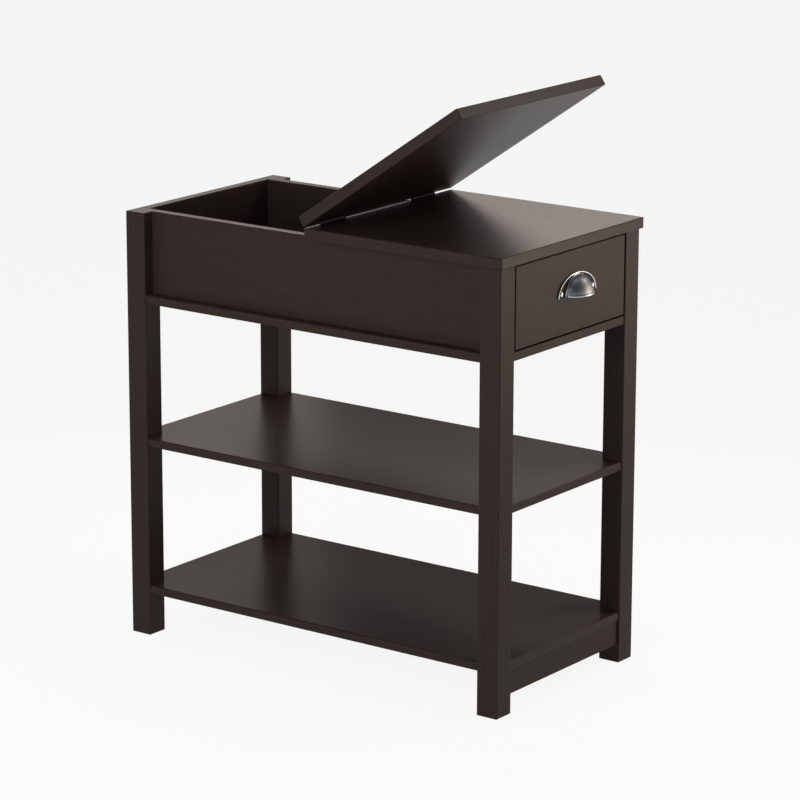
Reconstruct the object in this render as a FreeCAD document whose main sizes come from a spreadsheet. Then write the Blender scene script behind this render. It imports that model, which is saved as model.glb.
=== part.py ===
import FreeCAD, Part

import os
import re
from collections import namedtuple

import Sketcher

# A lift top end table: four square legs, a box on top with a hinged lid over a hidden compartment,
# a drawer under the fixed half of the top, and two open shelves.
# Frame: +Z up, X across the table, and the drawer faces -Y. The origin is on the floor, in the middle
# of the table's outer box, which reaches from the front of the drawer's pull to the back legs.

doc = FreeCAD.newDocument("lift_top_end_table")
sheet = doc.addObject("Spreadsheet::Sheet", "sizes")

# Driving dimensions, in millimetres and degrees.
DRIVING = {
    # Legs, panels and boards
    "leg_side": 32,
    "leg_height": 595,
    "frame_width": 320,
    "frame_depth": 616,
    "edge_round": 1.5,
    "top_thickness": 15,
    "top_overhang": 4,
    "panel_thickness": 15,
    "shelf_thickness": 12,
    "shelf_inset": 1.5,
    "panel_height": 113,
    "middle_shelf_height": 270,
    "bottom_shelf_height": 60,
    "apron_height": 34,
    "apron_thickness": 12,
    "apron_inset": 3,
    "divider_setback": 10,
    # Lid
    "hinge_offset": 2,
    "seam": 1.5,
    "lid_setback": 3.25,
    "lid_tilt": 34,
    "lid_seat": 0.3,
    # Butt hinges of the lid
    "hinge_lift": 0.5,
    "hinge_length": 50,
    "hinge_inset": 60,
    "leaf_margin": 2.5,
    "leaf_thickness": 1.2,
    "knuckle_radius": 2.5,
    "knuckle_gap": 0.3,
    "knuckle_clearance": 0.4,
    "hinge_pin_radius": 1.1,
    "hinge_pin_clearance": 0.05,
    "hinge_screw_radius": 1.25,
    "hinge_screw_head_radius": 2.6,
    "hinge_screw_length": 14,
    "hinge_screw_spread": 32,
    # Drawer
    "drawer_gap": 2,
    "drawer_inset": 0.5,
    "drawer_front_thickness": 15,
    "drawer_wall": 12,
    "drawer_back_gap": 18.75,
    "drawer_headroom": 21,
    "drawer_bottom_thickness": 3,
    "drawer_bottom_lift": 8,
    "drawer_groove": 5,
    "groove_clearance": 0.2,
    # Roller slides of the drawer
    "slide_gap": 12.5,
    "rail_lift": 8,
    "rail_setback": 3,
    "rail_sheet": 1.2,
    "runner_seat": 10,
    "runner_drop": 4,
    "runner_play": 0.8,
    "roller_radius": 6.5,
    "roller_clearance": 0.3,
    "roller_standoff": 1.8,
    "roller_inset": 9,
    "roller_round": 0.6,
    "axle_radius": 2,
    "axle_clearance": 0.05,
    "axle_collar_radius": 3.2,
    "axle_head_thickness": 0.7,
    "axle_end_play": 0.2,
    "head_gap": 0.5,
    "slide_screw_radius": 1.5,
    "slide_screw_length": 10,
    "slide_screw_head_radius": 3,
    "slide_screw_head_thickness": 0.9,
    "slide_screw_inset": 70,
    # Cup pull
    "pull_offset": 12,
    "pull_width": 87,
    "pull_height": 29,
    "pull_flange": 1.5,
    "pull_rim_width": 1.6,
    "pull_rim_height": 0.8,
    "cup_width": 54,
    "cup_height": 25,
    "cup_projection": 22,
    "cup_wall": 1.6,
    "cup_lip": 0.8,
    "cup_lip_height": 1.8,
    "pull_screw_edge": 7.5,
    "pull_screw_rise": 5,
    "pull_screw_radius": 1.6,
    "pull_screw_skin": 2.5,
    "pull_screw_head_radius": 3.2,
    "pull_screw_head_thickness": 1.4,
    # Cam fittings, dowels and the drawer's screws
    "cam_bolt_radius": 2.5,
    "cam_bolt_head_radius": 3,
    "cam_bolt_head_length": 4,
    "cam_bolt_bite": 11,
    "cam_distance": 24,
    "cam_radius": 7.5,
    "cam_skin": 2,
    "cam_rise": 23,
    "cam_end_distance": 60,
    "dowel_radius": 4,
    "dowel_bite": 10,
    "dowel_reach": 15,
    "dowel_margin": 23,
    "dowel_half_spread": 60,
    "drawer_screw_radius": 1.75,
    "drawer_screw_length": 30,
    "drawer_screw_head_radius": 3.5,
    "drawer_screw_head_thickness": 2,
    "drawer_screw_margin": 20,
    # Clearance round a fastener, and how far a cutting solid starts outside what it cuts
    "fit": 0.1,
    "overrun": 2,
}

# Sizes and places that follow from the driving dimensions.
DERIVED = {
    "half_width": "frame_width / 2",
    "inner_half": "half_width - leg_side",
    "front": "(cup_projection - drawer_inset - frame_depth) / 2",
    "back": "front + frame_depth",
    "panel_middle": "inner_half + panel_thickness / 2",
    "box_floor_top": "leg_height - panel_height",
    "box_floor_height": "box_floor_top - shelf_thickness",
    "top_width": "frame_width + 2 * top_overhang",
    "hinge_x": "half_width - hinge_inset",
    "hinge_line": "(front + back) / 2 + hinge_offset",
    "hinge_level": "leg_height + top_thickness + hinge_lift",
    "knuckle_length": "(hinge_length - 2 * knuckle_gap) / 3",
    "leaf_root": "knuckle_radius + knuckle_clearance",
    "leaf_width": "top_thickness + hinge_lift - leaf_margin",
    "hinge_screw_drop": "(leaf_width + leaf_root) / 2",
    "lid_length": "back - hinge_line - seam / 2 - lid_setback",
    "fixed_edge": "hinge_line - seam / 2",
    "divider_back": "fixed_edge - divider_setback",
    "divider_front": "divider_back - panel_thickness",
    "divider_middle": "(divider_front + divider_back) / 2",
    "apron_middle": "bottom_shelf_height - apron_height / 2",
    "drawer_face": "front + drawer_inset",
    "drawer_start": "drawer_face + drawer_front_thickness",
    "drawer_depth": "divider_front - drawer_start - drawer_back_gap",
    "drawer_end": "drawer_start + drawer_depth",
    "drawer_half": "inner_half - slide_gap",
    "drawer_inner_half": "drawer_half - drawer_wall",
    "drawer_height": "panel_height - rail_lift - runner_drop - drawer_headroom",
    "rail_level": "box_floor_top + rail_lift",
    "rail_start": "drawer_start + rail_setback",
    "roller_level": "rail_level + rail_sheet + roller_clearance + roller_radius",
    "roller_front": "rail_start + roller_inset",
    "roller_rear": "drawer_end - roller_inset",
    "runner_top": "roller_level + roller_radius + roller_clearance + rail_sheet",
    "rail_height": "runner_top - rail_level + runner_play + rail_sheet",
    "rail_flange": "slide_gap - rail_sheet - roller_standoff",
    "axle_head_room": "axle_end_play + axle_head_thickness + head_gap + slide_screw_head_thickness",
    "roller_width": "slide_gap - 2 * rail_sheet - roller_standoff - axle_head_room",
    "drawer_level": "rail_level + runner_drop",
    "groove_height": "drawer_bottom_thickness + 2 * groove_clearance",
    "groove_level": "drawer_level + drawer_bottom_lift",
    "pull_screw_spread": "pull_width - 2 * pull_screw_edge",
    "pull_screw_length": "drawer_front_thickness + pull_flange - pull_screw_skin",
    "pull_level": "box_floor_top + panel_height / 2 - pull_screw_rise",
    "cam_low": "box_floor_top + cam_rise",
    "dowel_low": "box_floor_top + dowel_margin",
    "dowel_high": "leg_height - dowel_margin",
}

cells = [(alias, str(value)) for alias, value in DRIVING.items()]
cells += [(alias, "=" + text) for alias, text in DERIVED.items()]
for row, (alias, content) in enumerate(cells, 1):
    sheet.set(f"A{row}", alias)
    sheet.set(f"B{row}", content)
    sheet.setAlias(f"B{row}", alias)
doc.recompute()

X = FreeCAD.Vector(1, 0, 0)
Y = FreeCAD.Vector(0, 1, 0)
Z = FreeCAD.Vector(0, 0, 1)
ZERO = ("0", "0", "0")
HINGE = ("0", "hinge_line", "hinge_level")
HANDS = {"left": -1, "right": 1}
SAME_PLACE_SHARE = 1e-6
nodes = {}
corners = {}


# Binding and placing

def formula(text):
    """The text with the sheet's name before each of its aliases."""
    return re.sub(r"[a-z]\w*", lambda word: f"sizes.{word[0]}", text)


def bind(thing, **sizes):
    for size, text in sizes.items():
        thing.setExpression(size, formula(text))


def place(thing, point):
    for axis, text in zip("xyz", point):
        thing.setExpression(f"Placement.Base.{axis}", formula(text))


def offset(point, x="0", y="0", z="0"):
    return tuple(f"({text}) + ({step})" for text, step in zip(point, (x, y, z)))


def shifted(point, direction, length):
    """The point moved by a length along a direction."""
    return tuple(f"({text}) + ({step:g}) * ({length})" for text, step in zip(point, direction))


def inside(body, point):
    """A point of the table, in the frame of the body."""
    return tuple(f"({there}) - ({here})" for there, here in zip(point, corners[body.Name]))


def hang(thing, point=HINGE):
    """Turn a thing that is drawn with the lid shut, about the hinge pin, to the lid's tilt."""
    thing.Placement.Rotation = FreeCAD.Rotation(X, 1)
    place(thing, point)
    bind(thing, **{"Placement.Rotation.Angle": "180 - lid_tilt"})


# Bodies and their features

def new_body(name, corner):
    body = doc.addObject("PartDesign::Body", name)
    place(body, corner)
    corners[name] = corner
    nodes[name] = body
    return body


def block(body, kind, size, corner=ZERO):
    solid = body.newObject(f"PartDesign::{kind}Box", f"{body.Name}_block")
    bind(solid, Length=size[0], Width=size[1], Height=size[2])
    place(solid, corner)


def rod(body, kind, radius, length, start, along):
    solid = body.newObject(f"PartDesign::{kind}Cylinder", f"{body.Name}_rod")
    bind(solid, Radius=radius, Height=length)
    solid.Placement.Rotation = FreeCAD.Rotation(Z, along)
    place(solid, start)


def cone(body, kind, first_radius, last_radius, length, start, along):
    solid = body.newObject(f"PartDesign::{kind}Cone", f"{body.Name}_cone")
    bind(solid, Radius1=first_radius, Radius2=last_radius, Height=length)
    solid.Placement.Rotation = FreeCAD.Rotation(Z, along)
    place(solid, start)


def hole(body, radius, depth, mouth, along):
    """A round hole from a mouth on the body's surface, given in the table's frame."""
    start = shifted(mouth, along, "-overrun")
    rod(body, "Subtractive", radius, f"{depth} + overrun", inside(body, start), along)


def extruded(body, points, length):
    """A bar along +Y whose section joins points (x, z), each fixed by two bound distances."""
    sketch = body.newObject("Sketcher::SketchObject", f"{body.Name}_section")
    plane = next(part for part in body.Origin.OriginFeatures if part.Role == "XZ_Plane")
    sketch.AttachmentSupport = [(plane, "")]
    sketch.MapMode = "FlatFace"
    now = [FreeCAD.Vector(*(float(sheet.evalExpression(text)) for text in point), 0) for point in points]
    count = len(points)
    for n in range(count):
        sketch.addGeometry(Part.LineSegment(now[n], now[(n + 1) % count]))
    for n in range(count):
        sketch.addConstraint(Sketcher.Constraint("Coincident", n, 2, (n + 1) % count, 1))
    for n, point in enumerate(points):
        for kind, axis, text, value in zip(("DistanceX", "DistanceY"), (-2, -1), point, now[n]):
            if text == "0":
                sketch.addConstraint(Sketcher.Constraint("PointOnObject", n, 1, axis))
            else:
                number = sketch.addConstraint(Sketcher.Constraint(kind, -1, 1, n, 1, value))
                sketch.setExpression(f"Constraints[{number}]", formula(text))
    bar = body.newObject("PartDesign::Pad", f"{body.Name}_bar")
    bar.Profile = sketch
    bar.Reversed = True
    bind(bar, Length=length)


def ease(body, chosen, radius="edge_round"):
    """Round the edges that the test picks, from each edge's box and the body's own box."""
    doc.recompute()
    stock = body.Tip
    whole = stock.Shape.BoundBox
    edges = [f"Edge{n}" for n, edge in enumerate(stock.Shape.Edges, 1) if chosen(edge.BoundBox, whole)]
    rounded = body.newObject("PartDesign::Fillet", f"{body.Name}_rounded")
    rounded.Base = (stock, edges)
    bind(rounded, Radius=radius)


def together(one, other, whole):
    return abs(one - other) < SAME_PLACE_SHARE * whole.DiagonalLength


def every_edge(edge, whole):
    return True


def level_edges(edge, whole):
    return together(edge.ZMin, edge.ZMax, whole)


def top_edges_along_x(edge, whole):
    return together(edge.ZMin, whole.ZMax, whole) and together(edge.YMin, edge.YMax, whole)


def top_edges_along_y(edge, whole):
    return together(edge.ZMin, whole.ZMax, whole) and together(edge.XMin, edge.XMax, whole)


def front_edges(edge, whole):
    return together(edge.YMax, whole.YMin, whole)


def rims(edge, whole):
    """The outer edges at both ends of a roller."""
    return together(edge.XMin, edge.XMax, whole) and together(edge.ZMax, whole.ZMax, whole)


def mirrored(name, source):
    """The right-hand piece, as the mirror image of the left-hand one."""
    other = doc.addObject("Part::Mirroring", name)
    other.Source = nodes[source]
    other.Normal = X
    nodes[name] = other


def template(name):
    """A fastener drawn once along +Z, to be repeated by links."""
    return doc.addObject("PartDesign::Body", name)


def group(name, spots):
    """One node of separate solids: a link for each (template, point, rotation)."""
    links = []
    for pattern, point, rotation in spots:
        link = doc.addObject("App::Link", f"{name}_link")
        link.LinkedObject = pattern
        link.Placement.Rotation = rotation
        place(link, point)
        links.append(link)
    doc.recompute()
    nodes[name] = doc.addObject("Part::Compound", name)
    nodes[name].Links = links
    return nodes[name]


# Where the boards join: cam fittings and dowels
# A cam bolt is screwed into the receiver and runs into the board, where a cam set in from the mouth
# side grips its head. A dowel sits half in the receiver and half in the board.

Cam = namedtuple("Cam", "receiver board thickness point into mouth")
Dowel = namedtuple("Dowel", "receiver board point into")
BOARDS = {
    "box_floor": "box_floor_height",
    "middle_shelf": "middle_shelf_height",
    "bottom_shelf": "bottom_shelf_height",
}
cams = []
drawer_cams = []
dowels = []
for hand, side in HANDS.items():
    inward = X * -side
    panel = f"side_panel_{hand}"
    panel_x = f"{side} * panel_middle"
    leg_x = f"{side} * inner_half"
    ends = (
        ("front", "front + leg_side", "front + leg_side - cam_radius", Y),
        ("back", "back - leg_side", "back - leg_side + cam_radius", -Y),
    )
    for end, panel_end, board_y, along in ends:
        leg = f"leg_{end}_{hand}"
        cams.append(Cam(leg, panel, "panel_thickness", (panel_x, panel_end, "cam_low"), along, inward))
        dowels.append(Dowel(leg, panel, (panel_x, panel_end, "dowel_high"), along))
        for board, level in BOARDS.items():
            spot = (leg_x, board_y, f"{level} + shelf_thickness / 2")
            cams.append(Cam(leg, board, "shelf_thickness", spot, inward, -Z))
    back_leg = f"leg_back_{hand}"
    back_y = "back - panel_thickness / 2"
    cams.append(Cam(back_leg, "back_panel", "panel_thickness", (leg_x, back_y, "cam_low"), inward, -Y))
    dowels.append(Dowel(back_leg, "back_panel", (leg_x, back_y, "dowel_high"), inward))
    apron_y = "front + apron_inset + apron_thickness / 2"
    apron_spot = (leg_x, apron_y, "apron_middle")
    cams.append(Cam(f"leg_front_{hand}", "front_apron", "apron_thickness", apron_spot, inward, Y))
    for top_y in ("front + leg_side + cam_end_distance", "divider_front - cam_end_distance"):
        cams.append(Cam("fixed_top", panel, "panel_thickness", (panel_x, top_y, "leg_height"), -Z, inward))
    for level in ("dowel_low", "dowel_high"):
        dowels.append(Dowel(panel, "divider", (leg_x, "divider_middle", level), inward))
    top_spot = (f"{side} * dowel_half_spread", "divider_middle", "leg_height")
    dowels.append(Dowel("fixed_top", "divider", top_spot, -Z))
    wall_x = f"{side} * (drawer_half - drawer_wall / 2)"
    wall_spot = (wall_x, "drawer_start", "drawer_level + drawer_height / 2")
    drawer_cams.append(Cam("drawer_front", f"drawer_side_{hand}", "drawer_wall", wall_spot, Y, -inward))


def drill(body):
    """Cut the body's holes for its cam fittings and dowels."""
    for cam in cams + drawer_cams:
        if cam.receiver == body.Name:
            hole(body, "cam_bolt_head_radius + fit", "cam_bolt_bite + fit", cam.point, -cam.into)
        if cam.board == body.Name:
            hole(body, "cam_bolt_head_radius + fit", "cam_distance", cam.point, cam.into)
            middle = shifted(cam.point, cam.into, "cam_distance")
            mouth = shifted(middle, cam.mouth, f"{cam.thickness} / 2")
            hole(body, "cam_radius + fit", f"{cam.thickness} - cam_skin + fit", mouth, -cam.mouth)
    for dowel in dowels:
        if dowel.receiver == body.Name:
            hole(body, "dowel_radius + fit", "dowel_bite + fit", dowel.point, -dowel.into)
        if dowel.board == body.Name:
            hole(body, "dowel_radius + fit", "dowel_reach + fit", dowel.point, dowel.into)


# Legs

for end, leg_y in (("front", "front"), ("back", "back - leg_side")):
    leg = new_body(f"leg_{end}_left", ("-half_width", leg_y, "0"))
    block(leg, "Additive", ("leg_side", "leg_side", "leg_height"))
    ease(leg, every_edge)
    drill(leg)
    mirrored(f"leg_{end}_right", f"leg_{end}_left")

# Side panels, back panel, divider and apron

panel_corner = ("-inner_half - panel_thickness", "front + leg_side", "box_floor_top")
side_panel = new_body("side_panel_left", panel_corner)
block(side_panel, "Additive", ("panel_thickness", "frame_depth - 2 * leg_side", "panel_height"))
ease(side_panel, top_edges_along_y)
drill(side_panel)

back_panel = new_body("back_panel", ("-inner_half", "back - panel_thickness", "box_floor_top"))
block(back_panel, "Additive", ("2 * inner_half", "panel_thickness", "panel_height"))
ease(back_panel, top_edges_along_x)
drill(back_panel)

divider = new_body("divider", ("-inner_half", "divider_front", "box_floor_top"))
block(divider, "Additive", ("2 * inner_half", "panel_thickness", "panel_height"))
drill(divider)

apron = new_body("front_apron", ("-inner_half", "front + apron_inset", "bottom_shelf_height - apron_height"))
block(apron, "Additive", ("2 * inner_half", "apron_thickness", "apron_height"))
drill(apron)

# Boards notched round the legs: the box's floor and the two shelves

for name, level in BOARDS.items():
    board = new_body(name, ("shelf_inset - half_width", "front + shelf_inset", level))
    width = "frame_width - 2 * shelf_inset"
    depth = "frame_depth - 2 * shelf_inset"
    block(board, "Additive", (width, depth, "shelf_thickness"))
    ease(board, level_edges)
    notch = "leg_side - shelf_inset"
    cutter = (f"{notch} + overrun", f"{notch} + overrun", "shelf_thickness + 2 * overrun")
    for notch_x in ("-overrun", f"{width} - ({notch})"):
        for notch_y in ("-overrun", f"{depth} - ({notch})"):
            block(board, "Subtractive", cutter, (notch_x, notch_y, "-overrun"))
    drill(board)

# Fixed half of the top, and the lid
# The lid is drawn shut, about the hinge pin, and hung at its tilt.


def seat_hinges(body, origin, along):
    """Mortises, knuckle grooves and screw holes for both hinges in a board's edge."""
    for side in HANDS.values():
        pin = offset(origin, x=f"{side} * hinge_x")
        edge = shifted(pin, along, "seam / 2")
        corner = offset(edge, x="-hinge_length / 2 - fit", z="-leaf_width - fit")
        start = shifted(corner, along, "-overrun" if along == Y else "leaf_thickness")
        size = ("hinge_length + 2 * fit", "leaf_thickness + overrun", "leaf_width + fit + overrun")
        block(body, "Subtractive", size, inside(body, start))
        groove_start = offset(pin, x="-hinge_length / 2 - fit")
        rod(body, "Subtractive", "leaf_root", "hinge_length + 2 * fit", inside(body, groove_start), X)
        for end in (-1, 1):
            mouth = offset(edge, x=f"{end} * hinge_screw_spread / 2", z="-hinge_screw_drop")
            hole(body, "hinge_screw_radius + fit", "hinge_screw_length + fit", mouth, along)


fixed_top = new_body("fixed_top", ("-top_width / 2", "front - top_overhang", "leg_height"))
block(fixed_top, "Additive", ("top_width", "fixed_edge - front + top_overhang", "top_thickness"))
ease(fixed_top, every_edge)
seat_hinges(fixed_top, HINGE, -Y)
drill(fixed_top)

lid = new_body("lid", ZERO)
lid_corner = ("-top_width / 2", "seam / 2", "lid_seat - hinge_lift - top_thickness")
block(lid, "Additive", ("top_width", "lid_length", "top_thickness"), lid_corner)
ease(lid, every_edge)
seat_hinges(lid, ZERO, Y)
hang(lid)

# Hinges: a leaf on the top, a leaf on the lid, and the pin


def hinge_leaf(name, along, knuckles):
    """One leaf with its own knuckles, drawn about the pin at the middle of the hinge."""
    leaf = new_body(name, ZERO)
    plate_y = "seam / 2" if along == Y else "-seam / 2 - leaf_thickness"
    plate = ("hinge_length", "leaf_thickness", "leaf_width - leaf_root")
    block(leaf, "Additive", plate, ("-hinge_length / 2", plate_y, "-leaf_width"))
    for number in knuckles:
        knuckle_x = f"-hinge_length / 2 + {number} * (knuckle_length + knuckle_gap)"
        neck = ("knuckle_length", "leaf_thickness", "leaf_root")
        block(leaf, "Additive", neck, (knuckle_x, plate_y, "-leaf_root"))
        rod(leaf, "Additive", "knuckle_radius", "knuckle_length", (knuckle_x, "0", "0"), X)
    bore_start = ("-hinge_length / 2 - overrun", "0", "0")
    bore_length = "hinge_length + 2 * overrun"
    rod(leaf, "Subtractive", "hinge_pin_radius + hinge_pin_clearance", bore_length, bore_start, X)
    for end in (-1, 1):
        mouth = shifted((f"{end} * hinge_screw_spread / 2", "0", "-hinge_screw_drop"), along, "seam / 2")
        wide = "hinge_screw_head_radius + fit"
        cone(leaf, "Subtractive", wide, "hinge_screw_radius + fit", "leaf_thickness", mouth, along)
    return leaf


left_hinge = ("-hinge_x", "hinge_line", "hinge_level")
place(hinge_leaf("hinge_top_leaf_left", -Y, (0, 2)), left_hinge)
hang(hinge_leaf("hinge_lid_leaf_left", Y, (1,)), left_hinge)
hinge_pin = new_body("hinge_pin_left", offset(left_hinge, x="-hinge_length / 2"))
rod(hinge_pin, "Additive", "hinge_pin_radius", "hinge_length", ZERO, X)
for piece in ("top_leaf", "lid_leaf", "pin"):
    mirrored(f"hinge_{piece}_right", f"hinge_{piece}_left")

# Drawer

front_corner = ("drawer_gap - inner_half", "drawer_face", "box_floor_top + drawer_gap")
front_size = ("2 * (inner_half - drawer_gap)", "drawer_front_thickness", "panel_height - 2 * drawer_gap")
drawer_front = new_body("drawer_front", front_corner)
block(drawer_front, "Additive", front_size)
ease(drawer_front, front_edges)
for side in HANDS.values():
    screw_x = f"pull_offset + {side} * pull_screw_spread / 2"
    screw_mouth = (screw_x, "drawer_face", "pull_level + pull_screw_rise")
    hole(drawer_front, "pull_screw_radius + fit", "pull_screw_length - pull_flange + fit", screw_mouth, Y)
drill(drawer_front)

drawer_side = new_body("drawer_side_left", ("-drawer_half", "drawer_start", "drawer_level"))
block(drawer_side, "Additive", ("drawer_wall", "drawer_depth", "drawer_height"))
ease(drawer_side, top_edges_along_y)
drill(drawer_side)

drawer_back = new_body("drawer_back", ("-drawer_inner_half", "drawer_end - drawer_wall", "drawer_level"))
block(drawer_back, "Additive", ("2 * drawer_inner_half", "drawer_wall", "drawer_height"))
ease(drawer_back, top_edges_along_x)

bottom_half = "drawer_inner_half + drawer_groove - groove_clearance"
bottom_start = "drawer_start - drawer_groove + groove_clearance"
bottom_end = "drawer_end - drawer_wall + drawer_groove - groove_clearance"
bottom_corner = (f"-({bottom_half})", bottom_start, "groove_level + groove_clearance")
drawer_bottom = new_body("drawer_bottom", bottom_corner)
bottom_size = (f"2 * ({bottom_half})", f"{bottom_end} - ({bottom_start})", "drawer_bottom_thickness")
block(drawer_bottom, "Additive", bottom_size)

# The drawer's bottom runs in one groove round its four walls.
groove_corner = ("-drawer_inner_half - drawer_groove", "drawer_start - drawer_groove", "groove_level")
groove_size = (
    "2 * (drawer_inner_half + drawer_groove)",
    "drawer_depth - drawer_wall + 2 * drawer_groove",
    "groove_height",
)
drawer_screw_spots = []
for wall in (drawer_front, drawer_side, drawer_back):
    block(wall, "Subtractive", groove_size, inside(wall, groove_corner))
for level in ("drawer_level + drawer_screw_margin", "drawer_level + drawer_height - drawer_screw_margin"):
    screw_y = "drawer_end - drawer_wall / 2"
    hole(drawer_side, "drawer_screw_radius + fit", "drawer_wall + fit", ("-drawer_half", screw_y, level), X)
    head_mouth = ("-drawer_half", screw_y, level)
    hole(drawer_side, "drawer_screw_head_radius + fit", "drawer_screw_head_thickness", head_mouth, X)
    for side in HANDS.values():
        inward = X * -side
        seat = (f"{side} * (drawer_half - drawer_screw_head_thickness)", screw_y, level)
        drawer_screw_spots.append((seat, inward))
        bite = "drawer_screw_length - drawer_wall + drawer_screw_head_thickness + fit"
        back_end = (f"{side} * drawer_inner_half", screw_y, level)
        hole(drawer_back, "drawer_screw_radius + fit", bite, back_end, inward)

# Roller slides: a channel on the box's wall, a runner under the drawer, and a roller on each

rail = new_body("cabinet_rail_left", ("-inner_half", "rail_start", "rail_level"))
extruded(rail, [
    ("0", "0"),
    ("rail_flange", "0"),
    ("rail_flange", "rail_sheet"),
    ("rail_sheet", "rail_sheet"),
    ("rail_sheet", "rail_height - rail_sheet"),
    ("rail_flange", "rail_height - rail_sheet"),
    ("rail_flange", "rail_height"),
    ("0", "rail_height"),
], "drawer_depth")

runner = new_body("drawer_runner_left", ("-inner_half", "drawer_start", "rail_level"))
runner_head = "runner_top - rail_level"
extruded(runner, [
    ("slide_gap - rail_sheet", "runner_drop - rail_sheet"),
    ("slide_gap + runner_seat", "runner_drop - rail_sheet"),
    ("slide_gap + runner_seat", "runner_drop"),
    ("slide_gap", "runner_drop"),
    ("slide_gap", runner_head),
    ("rail_sheet + runner_play", runner_head),
    ("rail_sheet + runner_play", f"{runner_head} - rail_sheet"),
    ("slide_gap - rail_sheet", f"{runner_head} - rail_sheet"),
], "drawer_depth")


def roller(name, corner):
    wheel = new_body(name, corner)
    rod(wheel, "Additive", "roller_radius", "roller_width", ZERO, X)
    ease(wheel, rims, "roller_round")
    bore_start = ("-overrun", "0", "0")
    rod(wheel, "Subtractive", "axle_radius + axle_clearance", "roller_width + 2 * overrun", bore_start, X)


front_roller_x = "rail_sheet + roller_standoff - inner_half"
rear_roller_x = "slide_gap - rail_sheet - roller_standoff - roller_width - inner_half"
roller("front_roller_left", (front_roller_x, "roller_front", "roller_level"))
roller("rear_roller_left", (rear_roller_x, "roller_rear", "roller_level"))


def axle(name, web_face, along):
    """A riveted axle from the outer face of a rail's web: shank, collar and head."""
    pin = new_body(name, web_face)
    collar_start = shifted(ZERO, along, "rail_sheet")
    head_start = shifted(collar_start, along, "roller_standoff + roller_width + axle_end_play")
    length = "rail_sheet + roller_standoff + roller_width + axle_end_play"
    rod(pin, "Additive", "axle_radius", length, ZERO, along)
    rod(pin, "Additive", "axle_collar_radius", "roller_standoff - axle_end_play", collar_start, along)
    rod(pin, "Additive", "axle_collar_radius", "axle_head_thickness", head_start, along)


axle("front_axle_left", ("-inner_half", "roller_front", "roller_level"), X)
axle("rear_axle_left", ("slide_gap - inner_half", "roller_rear", "roller_level"), -X)

axle_hole = "axle_radius + fit"
hole(rail, axle_hole, "rail_sheet + overrun", ("-inner_half", "roller_front", "roller_level"), X)
hole(runner, axle_hole, "rail_sheet + overrun", ("slide_gap - inner_half", "roller_rear", "roller_level"), -X)

rail_screw_spots = []
runner_screw_spots = []
for screw_y in ("{0} + slide_screw_inset", "{0} + drawer_depth - slide_screw_inset"):
    rail_y = screw_y.format("rail_start")
    runner_y = screw_y.format("drawer_start")
    runner_z = "drawer_level + slide_screw_head_radius"
    screw_hole = "slide_screw_radius + fit"
    hole(rail, screw_hole, "rail_sheet + overrun", ("-inner_half", rail_y, "roller_level"), X)
    hole(side_panel, screw_hole, "slide_screw_length + fit", ("-inner_half", rail_y, "roller_level"), -X)
    runner_face = ("slide_gap - inner_half", runner_y, runner_z)
    hole(runner, screw_hole, "rail_sheet + overrun", runner_face, -X)
    hole(drawer_side, screw_hole, "slide_screw_length + fit", runner_face, X)
    for side in HANDS.values():
        outward = X * side
        rail_spot = (f"{side} * (inner_half - rail_sheet)", rail_y, "roller_level")
        runner_spot = (f"{side} * (drawer_half + rail_sheet)", runner_y, runner_z)
        rail_screw_spots.append((rail_spot, outward))
        runner_screw_spots.append((runner_spot, -outward))

mirrored("side_panel_right", "side_panel_left")
mirrored("drawer_side_right", "drawer_side_left")
for piece in ("cabinet_rail", "drawer_runner", "front_roller", "rear_roller", "front_axle", "rear_axle"):
    mirrored(f"{piece}_right", f"{piece}_left")

# Cup pull: a half-ellipse flange with a raised rim, and a half dome open at the bottom
# It is drawn with the drawer's face at y = 0 and its lower edge at z = 0.


def oval_plate(name, half_width, half_height, thickness, turn, direction):
    """An elliptic plate, from an ellipse turned about X and extruded along a direction."""
    outline = doc.addObject("Part::Ellipse", f"{name}_outline")
    bind(outline, MajorRadius=half_width, MinorRadius=half_height)
    outline.Placement.Rotation = FreeCAD.Rotation(X, turn)
    plate = doc.addObject("Part::Extrusion", name)
    plate.Base = outline
    plate.DirMode = "Custom"
    plate.Dir = direction
    plate.Solid = True
    bind(plate, LengthFwd=thickness)
    return plate


def dome(name, half_width, projection, height):
    solid = doc.addObject("Part::Ellipsoid", name)
    solid.Angle1 = -90
    solid.Angle2 = 90
    solid.Angle3 = 360
    bind(solid, Radius1=height, Radius2=half_width, Radius3=projection)
    return solid


def joined(name, pieces):
    solid = doc.addObject("Part::MultiFuse", name)
    solid.Shapes = pieces
    return solid


def cut_off(name, base, tool):
    solid = doc.addObject("Part::Cut", name)
    solid.Base = base
    solid.Tool = tool
    return solid


def slab(name, size, corner):
    solid = doc.addObject("Part::Box", name)
    bind(solid, Length=size[0], Width=size[1], Height=size[2])
    place(solid, corner)
    return solid


UPRIGHT = 90
pull_half = "pull_width / 2"
flange = oval_plate("pull_flange_plate", pull_half, "pull_height", "pull_flange", UPRIGHT, -Y)
rim_depth = "pull_flange + pull_rim_height"
rim_outer = oval_plate("pull_rim_outer", pull_half, "pull_height", rim_depth, UPRIGHT, -Y)
rim_inner = oval_plate(
    "pull_rim_inner",
    "pull_width / 2 - pull_rim_width",
    "pull_height - pull_rim_width",
    rim_depth,
    UPRIGHT,
    -Y,
)
rim = cut_off("pull_rim", rim_outer, rim_inner)
lip = oval_plate("cup_lip_plate", "cup_width / 2", "cup_projection", "cup_lip_height", 0, Z)
cup = dome("cup_outside", "cup_width / 2 - cup_lip", "cup_projection - cup_lip", "cup_height")
hollow = dome(
    "cup_inside",
    "cup_width / 2 - cup_lip - cup_wall",
    "cup_projection - cup_lip - cup_wall",
    "cup_height - cup_wall",
)
room = "2 * pull_width"
below = slab("below_pull", (room, room, room), ("-pull_width", "-pull_width", f"-({room})"))
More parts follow.
